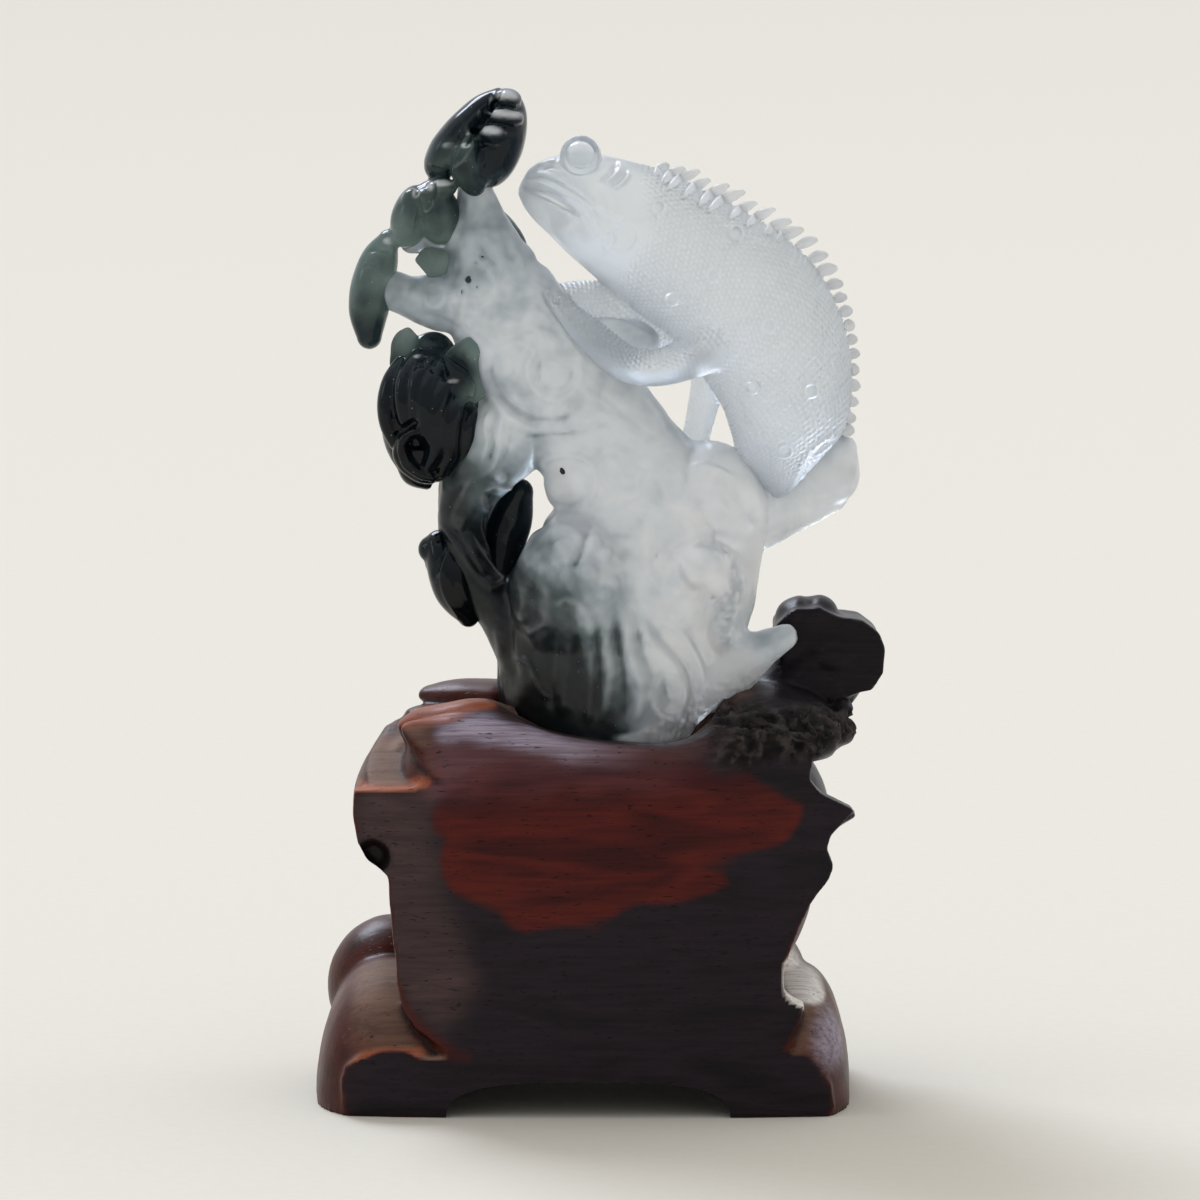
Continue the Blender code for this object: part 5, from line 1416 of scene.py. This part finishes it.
blades = []
for n, row in enumerate(np.array(CREST)):
    root, tip = row[:2], row[2:4] + (row[:2] - row[2:4]) * (0.03 + 0.06 * math.sin(2.4 * n))
    blades.append(blade(root, tip, BLADE_HALF_WIDTH * (1 + 0.1 * math.sin(1.7 * n))))
crest = joined("lizard_crest", blades)
points, facing = points_of(crest)
paint(crest, "smoke", 0.0 * points[:, 0])
# Painted highlight on the blades' raised edges, painted shade in the grooves between them.
paint(crest, "rim", ease(0.0, 0.1, proud(crest, 2)))
paint(crest, "hollow", ease(0.0, 0.08, -proud(crest, 2)))
CREST_COLOURS = [(0.0, "#ffffff"), (0.3, "#e9eef2"), (1.0, "#9aa9ae")]
satin = crystal_finish("satin_clear_crystal", 0.3, 0.5, CREST_COLOURS, 0.1, 0.8, 0.2)
wear(crest, satin)

# ------------------------------------------------------------------ the eyes
# Two round eyes in swollen lids on top of the head. The balls are the only part of the lizard
# that was polished, so they are clear and catch a light, and a highlight is painted on their tops.

balls = [egg((EYE_X, eye_y + way * 2.3, EYE_Z + 0.2), (3.5, 2.5, 3.2)) for eye_y, way in EYE_SIDES]
eyes = joined("lizard_eyes", balls)
paint(eyes, "smoke", np.full(len(eyes.data.vertices), 0.2))
# A painted highlight on the top of each ball.
paint(eyes, "rim", 0.15 + 0.85 * ease(EYE_Z + 0.3, EYE_Z + 1.4, points_of(eyes)[0][:, 2]))
bright = crystal_finish("polished_clear_crystal", 0.05, 0.4, CLEAR_COLOURS, 0.0, 0.9, 0.0)
wear(eyes, bright)
for piece in (lizard, crest, eyes):
    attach(piece, "root")
    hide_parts("quartz_carving")

# ------------------------------------------------------------------ one stone
# The stone is one piece, so a surface buried in its neighbour does not exist: it is taken away,
# which leaves a single skin over the whole carving.

BURIED = 0.35  # mm under a neighbour's skin from which a point is out of sight


def buried(piece, tree, other):
    """Which points of the piece lie deeper than BURIED inside the other."""
    deep = np.zeros(len(piece.data.vertices), bool)
    low = np.array(other.bound_box).min(0)
    high = np.array(other.bound_box).max(0)
    for n, vertex in enumerate(piece.data.vertices):
        at = vertex.co
        if low[0] < at[0] < high[0] and low[1] < at[1] < high[1] and low[2] < at[2] < high[2]:
            near, facing, _, apart = tree.find_nearest(at)
            deep[n] = apart > BURIED * MM and (at - near).dot(facing) < 0
    return deep


def take_away(mesh, gone):
    """The mesh loses the faces of these numbers."""
    bm = bmesh.new()
    bm.from_mesh(mesh)
    bm.faces.ensure_lookup_table()
    bmesh.ops.delete(bm, geom=[bm.faces[n] for n in gone], context="FACES")
    bm.to_mesh(mesh)
    bm.free()


stone_pieces = [stone, caps, lizard, crest, eyes]
trees = {piece.name: skin_tree(piece) for piece in stone_pieces}
depths = {}
for piece, others in (
    (stone, [caps, lizard]),
    (caps, [stone]),
    (lizard, [stone]),
    (crest, [lizard]),
    (eyes, [lizard]),
):
    depths[piece.name] = np.any([buried(piece, trees[other.name], other) for other in others], axis=0)
for piece in stone_pieces:
    deep = depths[piece.name]
    faces = piece.data.polygons
    take_away(piece.data, [face.index for face in faces if all(deep[v] for v in face.vertices)])

# The lizard is so finely beaded that its skin is kept as three meshes, which meet edge to edge
# and keep the facing they had as one.

PARTS = [  # name, and the x where it starts and ends
    ("lizard_foreparts", -99.0, 14.0), ("lizard_flank", 14.0, 38.0), ("lizard_hindparts", 38.0, 99.0),
]


def parted(piece, name, low, high):
    """A copy of the piece between two x, with the whole piece's facing at its points."""
    mesh = piece.data.copy()
    mesh.name = name
    part = placed(name, mesh)
    kept = mesh.attributes.new("kept_facing", "FLOAT_VECTOR", "POINT")
    kept.data.foreach_set("vector", numbers(mesh.vertex_normals, "vector").ravel())
    across = numbers(mesh.polygons, "center")[:, 0] / MM - SHIFT[0]
    take_away(mesh, np.where((across < low) | (across >= high))[0])
    facing = numbers(mesh.attributes["kept_facing"].data, "vector")
    mesh.normals_split_custom_set_from_vertices(facing.tolist())
    mesh.attributes.remove(mesh.attributes["kept_facing"])
    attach(part, "root")
    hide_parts("quartz_carving")


for name, low, high in PARTS:
    parted(lizard, name, low, high)
bpy.data.objects.remove(lizard)

# ------------------------------------------------------------------ the studio
# A pale paper floor that rises gently all round like a very wide dish, soft light from behind and
# above with the brightest window high behind on the left, and a long lens at the object's height.

FLOOR_FLAT, FLOOR_REACH, FLOOR_RISE, FLOOR_SIDES = 1.2, 22.0, 0.0035, 128
reach = np.concatenate([np.linspace(0.15, FLOOR_FLAT, 8), np.linspace(1.5, FLOOR_REACH, 40)])
angle = np.linspace(0, math.tau, FLOOR_SIDES, endpoint=False)
rise = (FLOOR_RISE * np.maximum(0, reach - FLOOR_FLAT) ** 2)[:, None] * np.ones_like(angle)
dish = np.stack([reach[:, None] * np.cos(angle), reach[:, None] * np.sin(angle), rise], axis=2)
centre = len(reach) * FLOOR_SIDES
corner = np.arange(centre).reshape(-1, FLOOR_SIDES)
beyond = np.roll(corner, -1, 1)
quads = np.stack([corner[:-1], corner[1:], beyond[1:], beyond[:-1]], 2)
wedges = [(int(a), int(b), centre) for a, b in zip(corner[0], beyond[0], strict=True)]
floor_mesh = bpy.data.meshes.new("paper_floor")
floor_points = dish.reshape(-1, 3).tolist() + [(0, 0, 0)]
floor_mesh.from_pydata(floor_points, [], quads.reshape(-1, 4).tolist() + wedges)
floor_mesh.shade_smooth()
floor = placed("paper_floor", floor_mesh)
paper, tree, shader = new_material("matte_pale_paper", {"Roughness": 0.95, "Specular IOR Level": 0.0})
pulp = add(tree, "TexNoise", {"Scale": 300.0}, {"Vector": add(tree, "TexCoord", out="Object")})
tone = add(tree, "ValToRGB", {"stops": [(0.3, "#d5cfc2"), (0.7, "#d6d1c5")]}, {"Fac": pulp})
tree.links.new(tone, shader.inputs["Base Color"])
wear(floor, paper)

SKY = [(0.0, "#b6b8bb"), (0.45, "#d0d2d5"), (0.7, "#e8ebf0"), (1.0, "#ffffff")]  # front to back
SKY_STRENGTH = 0.97
world = bpy.data.worlds.new("soft_daylight")
world.use_nodes = True
tree = world.node_tree
towards = add(tree, "TexCoord", out="Generated")
along = {"operation": "DOT_PRODUCT", 1: (0.0, 0.375, 0.25)}
behind = add(tree, "VectorMath", along, {0: towards}, out="Value")
behind = add(tree, "Math", {"operation": "ADD", 1: 0.375}, {0: behind})
sky = add(tree, "ValToRGB", {"stops": SKY}, {"Fac": behind})
tree.links.new(sky, tree.nodes["Background"].inputs["Color"])
tree.nodes["Background"].inputs["Strength"].default_value = SKY_STRENGTH
bpy.context.scene.world = world
LIGHTS = [  # name, direction it comes from, strength, width of the window in degrees, colour
    ("window_behind_left", (-0.34, 0.6, 0.72), 2.2, 28.0, "#e6eeff"),
    ("window_left", (-1.2, -0.2, 0.5), 0.16, 18.0, "#eef3ff"),
    ("window_right", (1.2, 0.3, 0.45), 0.2, 24.0, "#fff6ec"),
    ("high_daylight", (-0.3, -0.2, 1.2), 0.4, 75.0, "#fffaf2"),
]
for name, place, power, width, colour in LIGHTS:
    light = bpy.data.lights.new(name, "SUN")
    light.energy = power
    light.angle = math.radians(width)
    light.color = linear(colour)[:3]
    placed(name, light).rotation_euler = (-Vector(place)).to_track_quat("-Z", "Y").to_euler()

LENS, DISTANCE, RAISED, TARGET_HEIGHT = 135.0, 1.1349, math.radians(5.0), 0.12429
target = Vector((SHIFT[0] * MM, 0.0, TARGET_HEIGHT))
camera = placed("camera", bpy.data.cameras.new("camera"))
camera.data.lens = LENS
camera.data.sensor_width = 36.0
camera.data.clip_start = 0.01
camera.location = target + DISTANCE * Vector((0.0, -math.cos(RAISED), math.sin(RAISED)))
camera.rotation_euler = (target - camera.location).to_track_quat("-Z", "Y").to_euler()
bpy.context.scene.camera = camera
bpy.context.scene.view_settings.view_transform = "Standard"
